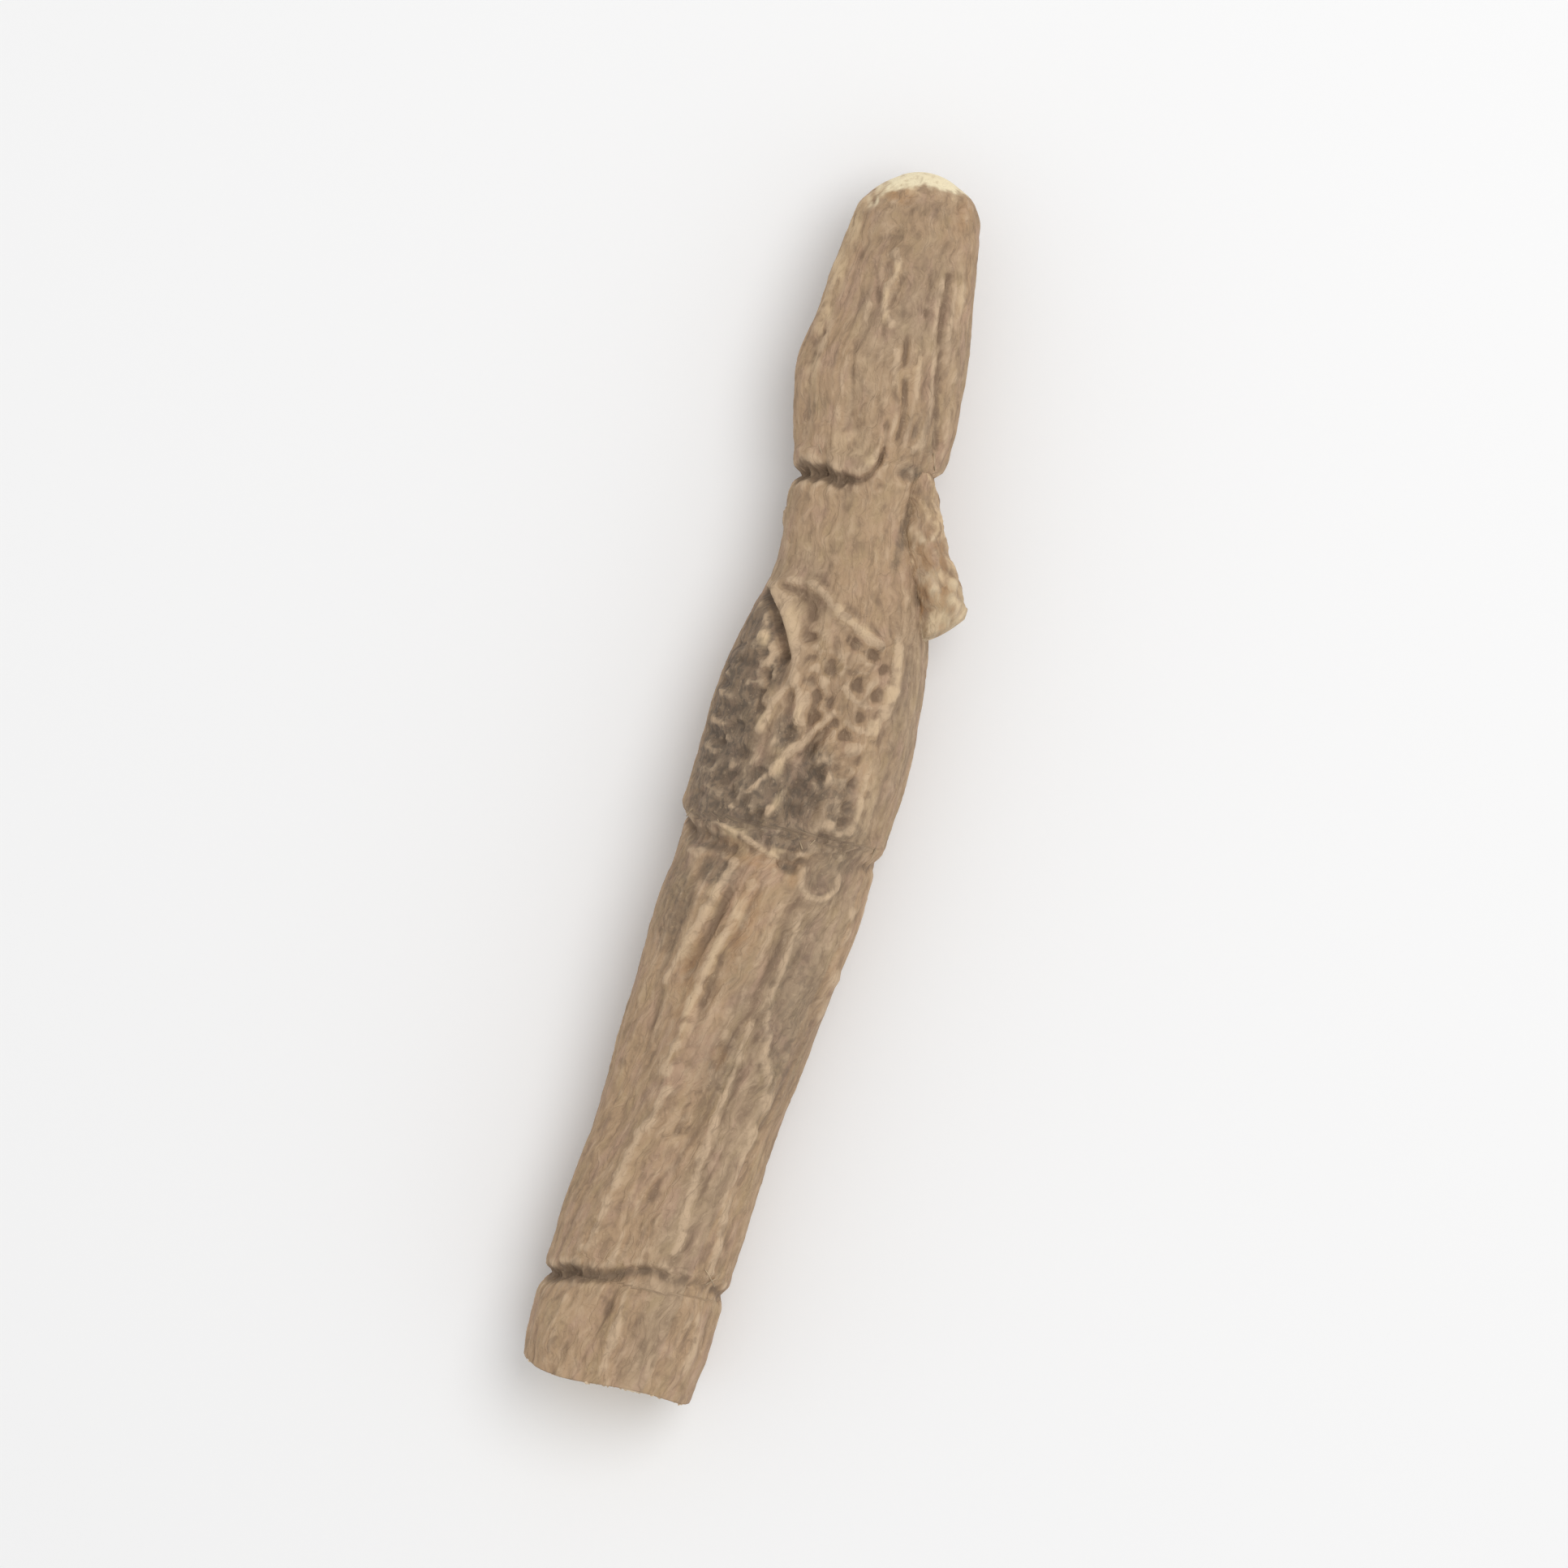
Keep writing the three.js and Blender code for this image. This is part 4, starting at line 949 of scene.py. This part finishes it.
class Tree:
    """Adds nodes to a node tree and links them. Most methods return the new node's output."""

    def __init__(self, tree):
        self.tree = tree
        tree.nodes.clear()

    def add(self, kind, inputs=None, **settings):
        """Adds a node, with a value or a link for each of its inputs that is named."""
        node = self.tree.nodes.new(kind)
        for name, value in settings.items():
            setattr(node, name, value)
        for key, value in (inputs or {}).items():
            if isinstance(value, bpy.types.NodeSocket):
                self.tree.links.new(value, node.inputs[key])
            else:
                node.inputs[key].default_value = value
        return node

    def math(self, operation, one, other=0.0):
        return self.add("ShaderNodeMath", {0: one, 1: other}, operation=operation).outputs[0]

    def times(self, one, other):
        return self.math("MULTIPLY", one, other)

    def vector(self, operation, one, other):
        return self.add("ShaderNodeVectorMath", {0: one, 1: other}, operation=operation).outputs[0]

    def scaled(self, vector, factor):
        inputs = {0: vector, "Scale": factor}
        return self.add("ShaderNodeVectorMath", inputs, operation="SCALE").outputs[0]

    def drawn_out(self, vector, share):
        """A pattern that reads this vector is drawn out along the stem."""
        return self.vector("MULTIPLY", vector, (share, 1.0, 1.0))

    def ramp(self, value, low, high):
        """Rises from 0 at low to 1 at high."""
        inputs = {"Value": value, "From Min": low, "From Max": high}
        return self.add("ShaderNodeMapRange", inputs, interpolation_type="SMOOTHSTEP").outputs[0]

    def noise(self, vector, scale, detail):
        inputs = {"Vector": vector, "Scale": scale, "Detail": detail}
        return self.add("ShaderNodeTexNoise", inputs).outputs[0]

    def wander(self, vector, scale, detail, reach):
        """A smooth random vector, up to about half of reach long along each axis."""
        inputs = {"Vector": vector, "Scale": scale, "Detail": detail}
        noise = self.add("ShaderNodeTexNoise", inputs).outputs["Color"]
        return self.scaled(self.vector("SUBTRACT", noise, (0.5, 0.5, 0.5)), reach)

    def random(self, low, high, seed):
        inputs = {NUMBER_LOW: low, NUMBER_HIGH: high, "Seed": seed}
        return self.add("FunctionNodeRandomValue", inputs, data_type="FLOAT").outputs[NUMBER_RESULT]

    def random_vector(self, low, high, seed):
        inputs = {VECTOR_LOW: (low, low, low), VECTOR_HIGH: (high, high, high), "Seed": seed}
        node = self.add("FunctionNodeRandomValue", inputs, data_type="FLOAT_VECTOR")
        return node.outputs[VECTOR_RESULT]

    def attribute(self, name, output="Fac"):
        return self.add("ShaderNodeAttribute", attribute_name=name).outputs[output]

    def blend(self, factor, one, other):
        inputs = {MIX_FACTOR: factor, MIX_A: one, MIX_B: other}
        return self.add("ShaderNodeMix", inputs, data_type="RGBA").outputs[MIX_RESULT]

    def laid_over(self, colour, *layers):
        """A layer is its strength, the value it follows, where it begins and is full, and a colour."""
        for strength, value, low, high, other in layers:
            share = self.times(self.ramp(value, low, high), strength)
            colour = self.blend(share, colour, colour_of(other))
        return colour

    def surface(self, colour, roughness, normal=None):
        shader = self.add("ShaderNodeBsdfPrincipled", {"Base Color": colour, "Roughness": roughness})
        if normal is not None:
            self.tree.links.new(normal, shader.inputs["Normal"])
        self.add("ShaderNodeOutputMaterial", {"Surface": shader.outputs[0]})


def new_material(name):
    material = bpy.data.materials.new(name)
    material.use_nodes = True
    return material, Tree(material.node_tree)


def colour_of(value):
    """A colour with its alpha, as the nodes take it."""
    return (*value, 1.0)


def creases(tree, place, scale, width):
    """Thin wavy lines where a noise crosses its middle: 1 on a line, falling to 0 at its edges."""
    off_middle = tree.math("ABSOLUTE", tree.math("SUBTRACT", tree.noise(place, scale, 2.0), 0.5))
    return tree.ramp(off_middle, width, 0.0)


def skin_material(colours):
    """Tan skin, stains, pale broken places; painted highlight on ridges, painted shade in creases and
    cracks.
    """
    material, tree = new_material("dried root skin")
    grain = tree.attribute("grain", "Vector")
    place = tree.vector("ADD", grain, tree.wander(grain, 0.45, 2.0, 1.6))
    long_lines = creases(tree, tree.drawn_out(place, 0.16), 1.0, 0.035)
    short_lines = creases(tree, tree.drawn_out(place, 0.35), 2.3, 0.05)
    streaks = tree.noise(tree.drawn_out(place, 0.22), 1.7, 4.0)
    patches = tree.noise(tree.drawn_out(grain, 0.6), 0.22, 2.0)
    tint = tree.noise(tree.drawn_out(grain, 0.5), 0.8, 3.0)
    mottle = tree.noise(tree.drawn_out(place, 0.6), 1.5, 5.0)
    stain_and_shade_noise = tree.noise(tree.drawn_out(place, 0.8), 2.6, 4.0)
    speckle = tree.noise(grain, 4.5, 3.0)
    relief = tree.attribute("relief")

    warm = tree.math("ADD", tree.ramp(patches, 0.3, 0.6), tree.attribute("warm"))
    colour = tree.laid_over(
        tree.blend(warm, colour_of(colours.grey), colour_of(colours.warm)),
        (0.5, tint, 0.5, 0.68, colours.rosy),
        (0.35, tint, 0.48, 0.32, colours.olive),
        # Painted highlight on the ridges and painted shade in the creases, from how far the skin stands
        # above or below the skin around it.
        (0.8, relief, 0.02, 0.14, colours.ridge),
        (0.8, relief, -0.02, -0.19, colours.furrow),
        (0.4, mottle, 0.5, 0.72, colours.ridge),
        (0.45, mottle, 0.5, 0.28, colours.furrow),
    )
    rust = tree.times(tree.attribute("rust"), tree.ramp(mottle, 0.66, 0.4))
    colour = tree.laid_over(
        tree.blend(rust, colour, colour_of(colours.rust)),
        (0.3, streaks, 0.52, 0.7, colours.ridge),
        (0.35, streaks, 0.48, 0.3, colours.furrow),
        # Painted shade in the fine creases that the bump carves.
        (0.22, long_lines, 0.0, 1.0, colours.furrow),
        (0.12, short_lines, 0.0, 1.0, colours.furrow),
    )
    # Stains and painted shade, laid mostly in the low places of the skin and made patchy.
    stain_and_shade = tree.times(tree.attribute("stain_and_shade"), tree.ramp(relief, 0.26, 0.07))
    patchy_stain_and_shade = tree.times(stain_and_shade, tree.ramp(stain_and_shade_noise, 0.56, 0.36))
    colour = tree.blend(tree.times(stain_and_shade, 0.62), colour, colour_of(colours.stain_and_shade))
    colour = tree.blend(tree.times(patchy_stain_and_shade, 0.7), colour, colour_of(colours.stain_and_shade))
    # Pale places and painted highlight.
    pale_and_highlight = tree.times(tree.attribute("pale_and_highlight"), tree.ramp(mottle, 0.3, 0.62))
    crack = tree.math("SUBTRACT", tree.attribute("crack"), tree.times(mottle, 0.5))
    colour = tree.laid_over(
        tree.blend(pale_and_highlight, colour, colour_of(colours.pale_and_highlight)),
        # Painted shade in the ring cracks.
        (0.8, crack, -0.2, 0.16, colours.crack),
        (0.3, speckle, 0.62, 0.74, colours.ridge),
        (0.3, speckle, 0.38, 0.26, colours.furrow),
    )
    broken = tree.laid_over(
        colour_of(colours.cut),
        (0.5, mottle, 0.45, 0.28, colours.pit),
        (0.75, tree.attribute("crumb"), 0.0, 1.0, colours.flesh),
        (0.5, tree.attribute("core"), 0.0, 1.0, colours.pit),
    )
    colour = tree.blend(tree.attribute("cut"), colour, broken)

    bumps = tree.math("ADD", tree.times(mottle, 1.2), tree.times(speckle, 0.5))
    bumps = tree.math("SUBTRACT", bumps, tree.times(long_lines, 0.35))
    bumps = tree.math("SUBTRACT", bumps, tree.times(short_lines, 0.2))
    bump = tree.add("ShaderNodeBump", {"Height": bumps, "Strength": 0.5, "Distance": BUMP_HEIGHT})
    tree.surface(colour, colours.roughness, bump.outputs[0])
    return material


def plain_material(name, colour, spread):
    """One colour, lighter and darker in places."""
    material, tree = new_material(name)
    place = tree.add("ShaderNodeTexCoord").outputs["Object"]
    shade = tree.ramp(tree.noise(place, 900.0, 2.0), 0.3, 0.7)
    dark = [channel * (1 - spread) for channel in colour]
    tree.surface(tree.blend(shade, colour_of(dark), colour_of(colour)), 0.8)
    return material


def growth_tree(name, sizes):
    """A geometry tree with a mesh going in, a mesh coming out, named sizes and a seed."""
    group = bpy.data.node_groups.new(name, "GeometryNodeTree")
    group.interface.new_socket("Geometry", in_out="INPUT", socket_type="NodeSocketGeometry")
    group.interface.new_socket("Geometry", in_out="OUTPUT", socket_type="NodeSocketGeometry")
    for size in sizes:
        group.interface.new_socket(size, in_out="INPUT", socket_type="NodeSocketFloat")
    group.interface.new_socket("Seed", in_out="INPUT", socket_type="NodeSocketInt")
    tree = Tree(group)
    return group, tree, tree.add("NodeGroupInput").outputs


def scattered(tree, source, mask):
    """Points spread over the skin where a value of it asks for them."""
    density = tree.add("GeometryNodeInputNamedAttribute", {"Name": mask}, data_type="FLOAT").outputs[0]
    inputs = {
        "Mesh": source["Geometry"],
        "Density": tree.times(density, source["Density"]),
        "Seed": source["Seed"],
    }
    return tree.add("GeometryNodeDistributePointsOnFaces", inputs)


def finish_growth(tree, points, shape, turned, size, bend, bends, material):
    """Puts a turned and sized shape at every point, bends them with noise and sets their material."""
    inputs = {"Points": points, "Instance": shape, "Rotation": turned, "Scale": size}
    instances = tree.add("GeometryNodeInstanceOnPoints", inputs).outputs[0]
    realized = tree.add("GeometryNodeRealizeInstances", {"Geometry": instances}).outputs[0]
    place = tree.add("GeometryNodeInputPosition").outputs[0]
    offset = tree.wander(place, bends, 1.0, bend)
    bent = tree.add("GeometryNodeSetPosition", {"Geometry": realized, "Offset": offset}).outputs[0]
    shaded = tree.add("GeometryNodeSetShadeSmooth", {0: bent}).outputs[0]
    final = tree.add("GeometryNodeSetMaterial", {"Geometry": shaded, "Material": material}).outputs[0]
    tree.add("NodeGroupOutput", {0: final})


def fibre_tree(material):
    """Tapering fibres that lie close to the skin at the node rings."""
    group, tree, source = growth_tree("fibres", ("Density", "Length", "Thickness", "Bend"))
    spread = scattered(tree, source, "fibre").outputs
    line = tree.add("GeometryNodeCurvePrimitiveLine", {"End": (0.0, 0.0, 1.0)}).outputs[0]
    curve = tree.add("GeometryNodeResampleCurve", {"Curve": line, "Count": 10}).outputs[0]
    reach = tree.add("GeometryNodeSplineParameter").outputs["Factor"]
    taper = tree.math("SUBTRACT", 1.0, tree.times(reach, 0.75))
    curve = tree.add("GeometryNodeSetCurveRadius", {"Curve": curve, "Radius": taper}).outputs[0]
    ring = tree.add("GeometryNodeCurvePrimitiveCircle", {"Resolution": 6, "Radius": 1.0}).outputs[0]
    rod_inputs = {"Curve": curve, "Profile Curve": ring, "Fill Caps": True}
    rod = tree.add("GeometryNodeCurveToMesh", rod_inputs).outputs[0]

    normal = spread["Normal"]
    lengthwise = tree.vector("MULTIPLY", tree.random_vector(-1.0, 1.0, 3), (1.6, 0.5, 0.5))
    flat = tree.vector("CROSS_PRODUCT", normal, tree.vector("CROSS_PRODUCT", lengthwise, normal))
    direction = tree.vector("ADD", flat, tree.scaled(normal, 0.1))
    turned = tree.add("FunctionNodeAlignRotationToVector", {"Vector": direction}, axis="Z").outputs[0]
    long = tree.times(source["Length"], tree.random(0.3, 1.0, 5))
    wide = tree.times(source["Thickness"], tree.random(0.3, 0.5, 7))
    size = tree.add("ShaderNodeCombineXYZ", {0: wide, 1: wide, 2: long}).outputs[0]
    finish_growth(tree, spread["Points"], rod, turned, size, source["Bend"], FIBRE_BENDS, material)
    return group


def crumb_tree(material):
    """Small uneven crumbs on the snapped face."""
    group, tree, source = growth_tree("crumbs", ("Density", "Size", "Bend"))
    spread = scattered(tree, source, "crumb").outputs
    ball = tree.add("GeometryNodeMeshIcoSphere", {"Radius": 0.5, "Subdivisions": 2}).outputs[0]
    turned = tree.random_vector(0.0, CRUMB_TURN, 0)
    width = tree.times(source["Size"], tree.random(0.35, 1.0, 11))
    length = tree.times(width, tree.random(1.0, 1.9, 13))
    size = tree.add("ShaderNodeCombineXYZ", {0: width, 1: width, 2: length}).outputs[0]
    finish_growth(tree, spread["Points"], ball, turned, size, source["Bend"], CRUMB_BENDS, material)
    return group


def grow_on(skin, name, group, settings):
    """What a tree grows on the skin, as a piece of its own. Its inputs are named as the settings."""
    piece = bpy.data.objects.new(name, skin.data)
    bpy.context.scene.collection.objects.link(piece)
    modifier = piece.modifiers.new(name, "NODES")
    modifier.node_group = group
    for socket in group.interface.items_tree:
        setting = socket.name.lower()
        if hasattr(settings, setting):
            modifier[socket.identifier] = getattr(settings, setting)
    keep_result(piece)
    rest_on_table(piece)
    return piece


def colour_setting(name, description, default):
    return FloatVectorProperty(name=name, description=description, default=default, subtype="COLOR")


def length_setting(name, description, default):
    """A length, shown with five decimals, because many are under a millimetre."""
    return FloatProperty(
        name=name, description=description, default=default, unit="LENGTH", precision=5
    )


class SkinSettings(bpy.types.PropertyGroup):
    """Fineness and colours of the skin."""

    columns: IntProperty(name="Columns", description="Points round the stem", default=256, min=60)
    wrinkle_height: length_setting("Wrinkle height", "Depth of the finest creases", 0.00009)
    roughness: FloatProperty(name="Roughness", description="Dullness", default=0.82, subtype="FACTOR")
    grey: colour_setting("Grey skin", "The duller skin", (0.395, 0.277, 0.174))
    warm: colour_setting("Warm skin", "The warmer skin", (0.435, 0.29, 0.172))
    # The ridge and furrow colours also give the painted highlight on ridges and the painted shade in
    # creases.
    ridge: colour_setting("Ridges", "Worn ridges", (0.59, 0.43, 0.28))
    furrow: colour_setting("Furrows", "Bottoms of furrows", (0.2, 0.13, 0.08))
    rosy: colour_setting("Rosy skin", "Reddish patches", (0.45, 0.29, 0.205))
    olive: colour_setting("Olive skin", "Yellowish patches", (0.4, 0.29, 0.15))
    rust: colour_setting("Rusty places", "Orange-brown places", (0.46, 0.265, 0.125))
    # Colour of the pale places and of the painted highlight.
    pale_and_highlight: colour_setting("Pale places", "Yellowish worn places", (0.69, 0.51, 0.31))
    # Colour of the stains and of the painted shade.
    stain_and_shade: colour_setting("Stains", "Darker stretches", (0.105, 0.08, 0.058))
    # Colour of the painted shade in the ring cracks.
    crack: colour_setting("Cracks", "Bottoms of the ring cracks", (0.2, 0.138, 0.088))
    cut: colour_setting("Broken places", "Pale inner flesh", (0.9, 0.78, 0.53))
    flesh: colour_setting("Snapped face", "Duller inner flesh", (0.71, 0.55, 0.38))
    pit: colour_setting("Pits", "Brown pits of the inner flesh", (0.45, 0.29, 0.155))


class FibreSettings(bpy.types.PropertyGroup):
    """Fibres at the node rings."""

    density: FloatProperty(name="Density", description="Fibres to a square metre", default=150000.0)
    length: length_setting("Length", "Longest fibre", 0.0016)
    thickness: length_setting("Thickness", "Thickest fibre", 0.0001)
    bend: length_setting("Bend", "How far fibres wander", 0.0004)
    seed: IntProperty(name="Seed", description="Picks other random fibres", default=8)
    colour: colour_setting("Colour", "Colour of the fibres", (0.56, 0.42, 0.27))


class CrumbSettings(bpy.types.PropertyGroup):
    """Crumbs on the snapped face."""

    density: FloatProperty(name="Density", description="Crumbs to a square metre", default=6000000.0)
    size: length_setting("Size", "Widest crumb", 0.00024)
    bend: length_setting("Unevenness", "How far from round", 0.00014)
    seed: IntProperty(name="Seed", description="Picks other random crumbs", default=5)
    colour: colour_setting("Colour", "Colour of the crumbs", (0.7, 0.54, 0.37))


class StageSettings(bpy.types.PropertyGroup):
    """Table, lights and camera."""

    table: colour_setting("Table", "Colour of the table", (0.92, 0.92, 0.92))
    sky: FloatProperty(name="Sky", description="Strength of the even light", default=0.70)
    key: FloatProperty(name="Key", description="Power of the main lamp", default=0.95, unit="POWER")
    key_size: length_setting("Key size", "Width of the main lamp", 0.35)
    distance: length_setting("Camera height", "Height of the camera above the table", 0.735)
    lens: FloatProperty(name="Lens", description="Focal length in millimetres", default=250.0)
    lean: FloatProperty(
        name="Lean",
        description="How far the root leans to the right",
        default=math.radians(11.3),
        subtype="ANGLE",
    )


class OBJECT_OT_rhizome_skin(bpy.types.Operator):
    """Build the stem's fine skin and its bud"""

    bl_idname = "object.rhizome_skin"
    bl_label = "Build the Skin"

    def execute(self, context):
        settings = context.scene.rhizome_skin
        stem, bud = stem_grid(settings), bud_grid()
        skin = closed_mesh("rhizome_skin", stem[0])
        join_solids(skin, closed_mesh("bud", bud[0]))
        paint(skin.data, (stem, bud))
        rest_on_table(skin)
        skin.data.shade_smooth()
        skin.data.materials.clear()
        skin.data.materials.append(skin_material(settings))
        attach(skin, BODY)
        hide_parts(NODE)
        return {"FINISHED"}


class OBJECT_OT_rhizome_fibres(bpy.types.Operator):
    """Grow short fibres at the node rings"""

    bl_idname = "object.rhizome_fibres"
    bl_label = "Grow the Fibres"

    def execute(self, context):
        settings = context.scene.rhizome_fibres
        group = fibre_tree(plain_material("fibre", settings.colour, 0.5))
        fibres = grow_on(bpy.data.objects["rhizome_skin"], "rhizome_fibres", group, settings)
        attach(fibres, BODY)
        return {"FINISHED"}


class OBJECT_OT_rhizome_crumbs(bpy.types.Operator):
    """Scatter crumbs over the snapped face"""

    bl_idname = "object.rhizome_crumbs"
    bl_label = "Scatter the Crumbs"

    def execute(self, context):
        settings = context.scene.rhizome_crumbs
        group = crumb_tree(plain_material("crumb", settings.colour, 0.25))
        crumbs = grow_on(bpy.data.objects["rhizome_skin"], "rhizome_crumbs", group, settings)
        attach(crumbs, BODY)
        return {"FINISHED"}


def add_table(colour):
    """A wide flat table, which is shown in the picture but isn't part of the root."""
    reach = TABLE_REACH
    corners = [(-reach, -reach, 0), (reach, -reach, 0), (reach, reach, 0), (-reach, reach, 0)]
    mesh = bpy.data.meshes.new("table")
    mesh.from_pydata(corners, [], [(0, 1, 2, 3)])
    table = bpy.data.objects.new("table", mesh)
    bpy.context.scene.collection.objects.link(table)
    material, tree = new_material("table")
    tree.surface(colour_of(colour), 0.9)
    mesh.materials.append(material)


def add_sky(strength):
    """Even white light from all sides."""
    world = bpy.data.worlds.new("studio")
    world.use_nodes = True
    sky = world.node_tree.nodes["Background"]
    sky.inputs["Color"].default_value = (1.0, 1.0, 1.0, 1.0)
    sky.inputs["Strength"].default_value = strength
    bpy.context.scene.world = world


def add_lamp(name, place, size, power):
    """A round lamp that shines on the root."""
    lamp = bpy.data.lights.new(name, "AREA")
    lamp.shape = "DISK"
    lamp.size = size
    lamp.energy = power
    holder = bpy.data.objects.new(name, lamp)
    holder.location = place
    holder.rotation_euler = (-Vector(place)).to_track_quat("-Z", "Y").to_euler()
    bpy.context.scene.collection.objects.link(holder)


def add_camera(settings):
    """Looks straight down. The root leans to the right of the picture's upright."""
    camera = bpy.data.objects.new("camera", bpy.data.cameras.new("camera"))
    camera.data.lens = settings.lens
    up = Vector((math.cos(settings.lean), math.sin(settings.lean), 0))
    right = Vector((math.sin(settings.lean), -math.cos(settings.lean), 0))
    camera.matrix_world = Matrix((
        (right.x, up.x, 0, 0),
        (right.y, up.y, 0, 0),
        (0, 0, 1, settings.distance),
        (0, 0, 0, 1),
    ))
    bpy.context.scene.collection.objects.link(camera)
    bpy.context.scene.camera = camera


class SCENE_OT_rhizome_stage(bpy.types.Operator):
    """Build the table, the lights and the camera"""

    bl_idname = "scene.rhizome_stage"
    bl_label = "Build the Stage"

    def execute(self, context):
        settings = context.scene.rhizome_stage
        add_table(settings.table)
        add_sky(settings.sky)
        add_lamp("key", LAMP_PLACE, settings.key_size, settings.key)
        add_camera(settings)
        context.scene.view_settings.view_transform = "Standard"
        return {"FINISHED"}


class VIEW3D_PT_rhizome(bpy.types.Panel):
    """Sizes and colours of the root, and the buttons that build it"""

    bl_idname = "VIEW3D_PT_rhizome"
    bl_label = "Sweet Flag Root"
    bl_space_type = "VIEW_3D"
    bl_region_type = "UI"
    bl_category = "Sweet Flag"

    def draw(self, context):
        for operator, name, group in PARTS:
            box = self.layout.box()
            for setting in group.__annotations__:
                box.prop(getattr(context.scene, name), setting)
            box.operator(operator.bl_idname)


# Each operator, with the name and the class of its settings.
PARTS = (
    (OBJECT_OT_rhizome_skin, "rhizome_skin", SkinSettings),
    (OBJECT_OT_rhizome_fibres, "rhizome_fibres", FibreSettings),
    (OBJECT_OT_rhizome_crumbs, "rhizome_crumbs", CrumbSettings),
    (SCENE_OT_rhizome_stage, "rhizome_stage", StageSettings),
)


def register():
    for operator, name, group in PARTS:
        bpy.utils.register_class(group)
        setattr(bpy.types.Scene, name, PointerProperty(type=group))
        bpy.utils.register_class(operator)
    bpy.utils.register_class(VIEW3D_PT_rhizome)


def unregister():
    bpy.utils.unregister_class(VIEW3D_PT_rhizome)
    for operator, name, group in reversed(PARTS):
        bpy.utils.unregister_class(operator)
        delattr(bpy.types.Scene, name)
        bpy.utils.unregister_class(group)


def main():
    register()
    bpy.ops.object.rhizome_skin()
    bpy.ops.object.rhizome_fibres()
    bpy.ops.object.rhizome_crumbs()
    bpy.ops.scene.rhizome_stage()


if __name__ == "__main__":
    main()
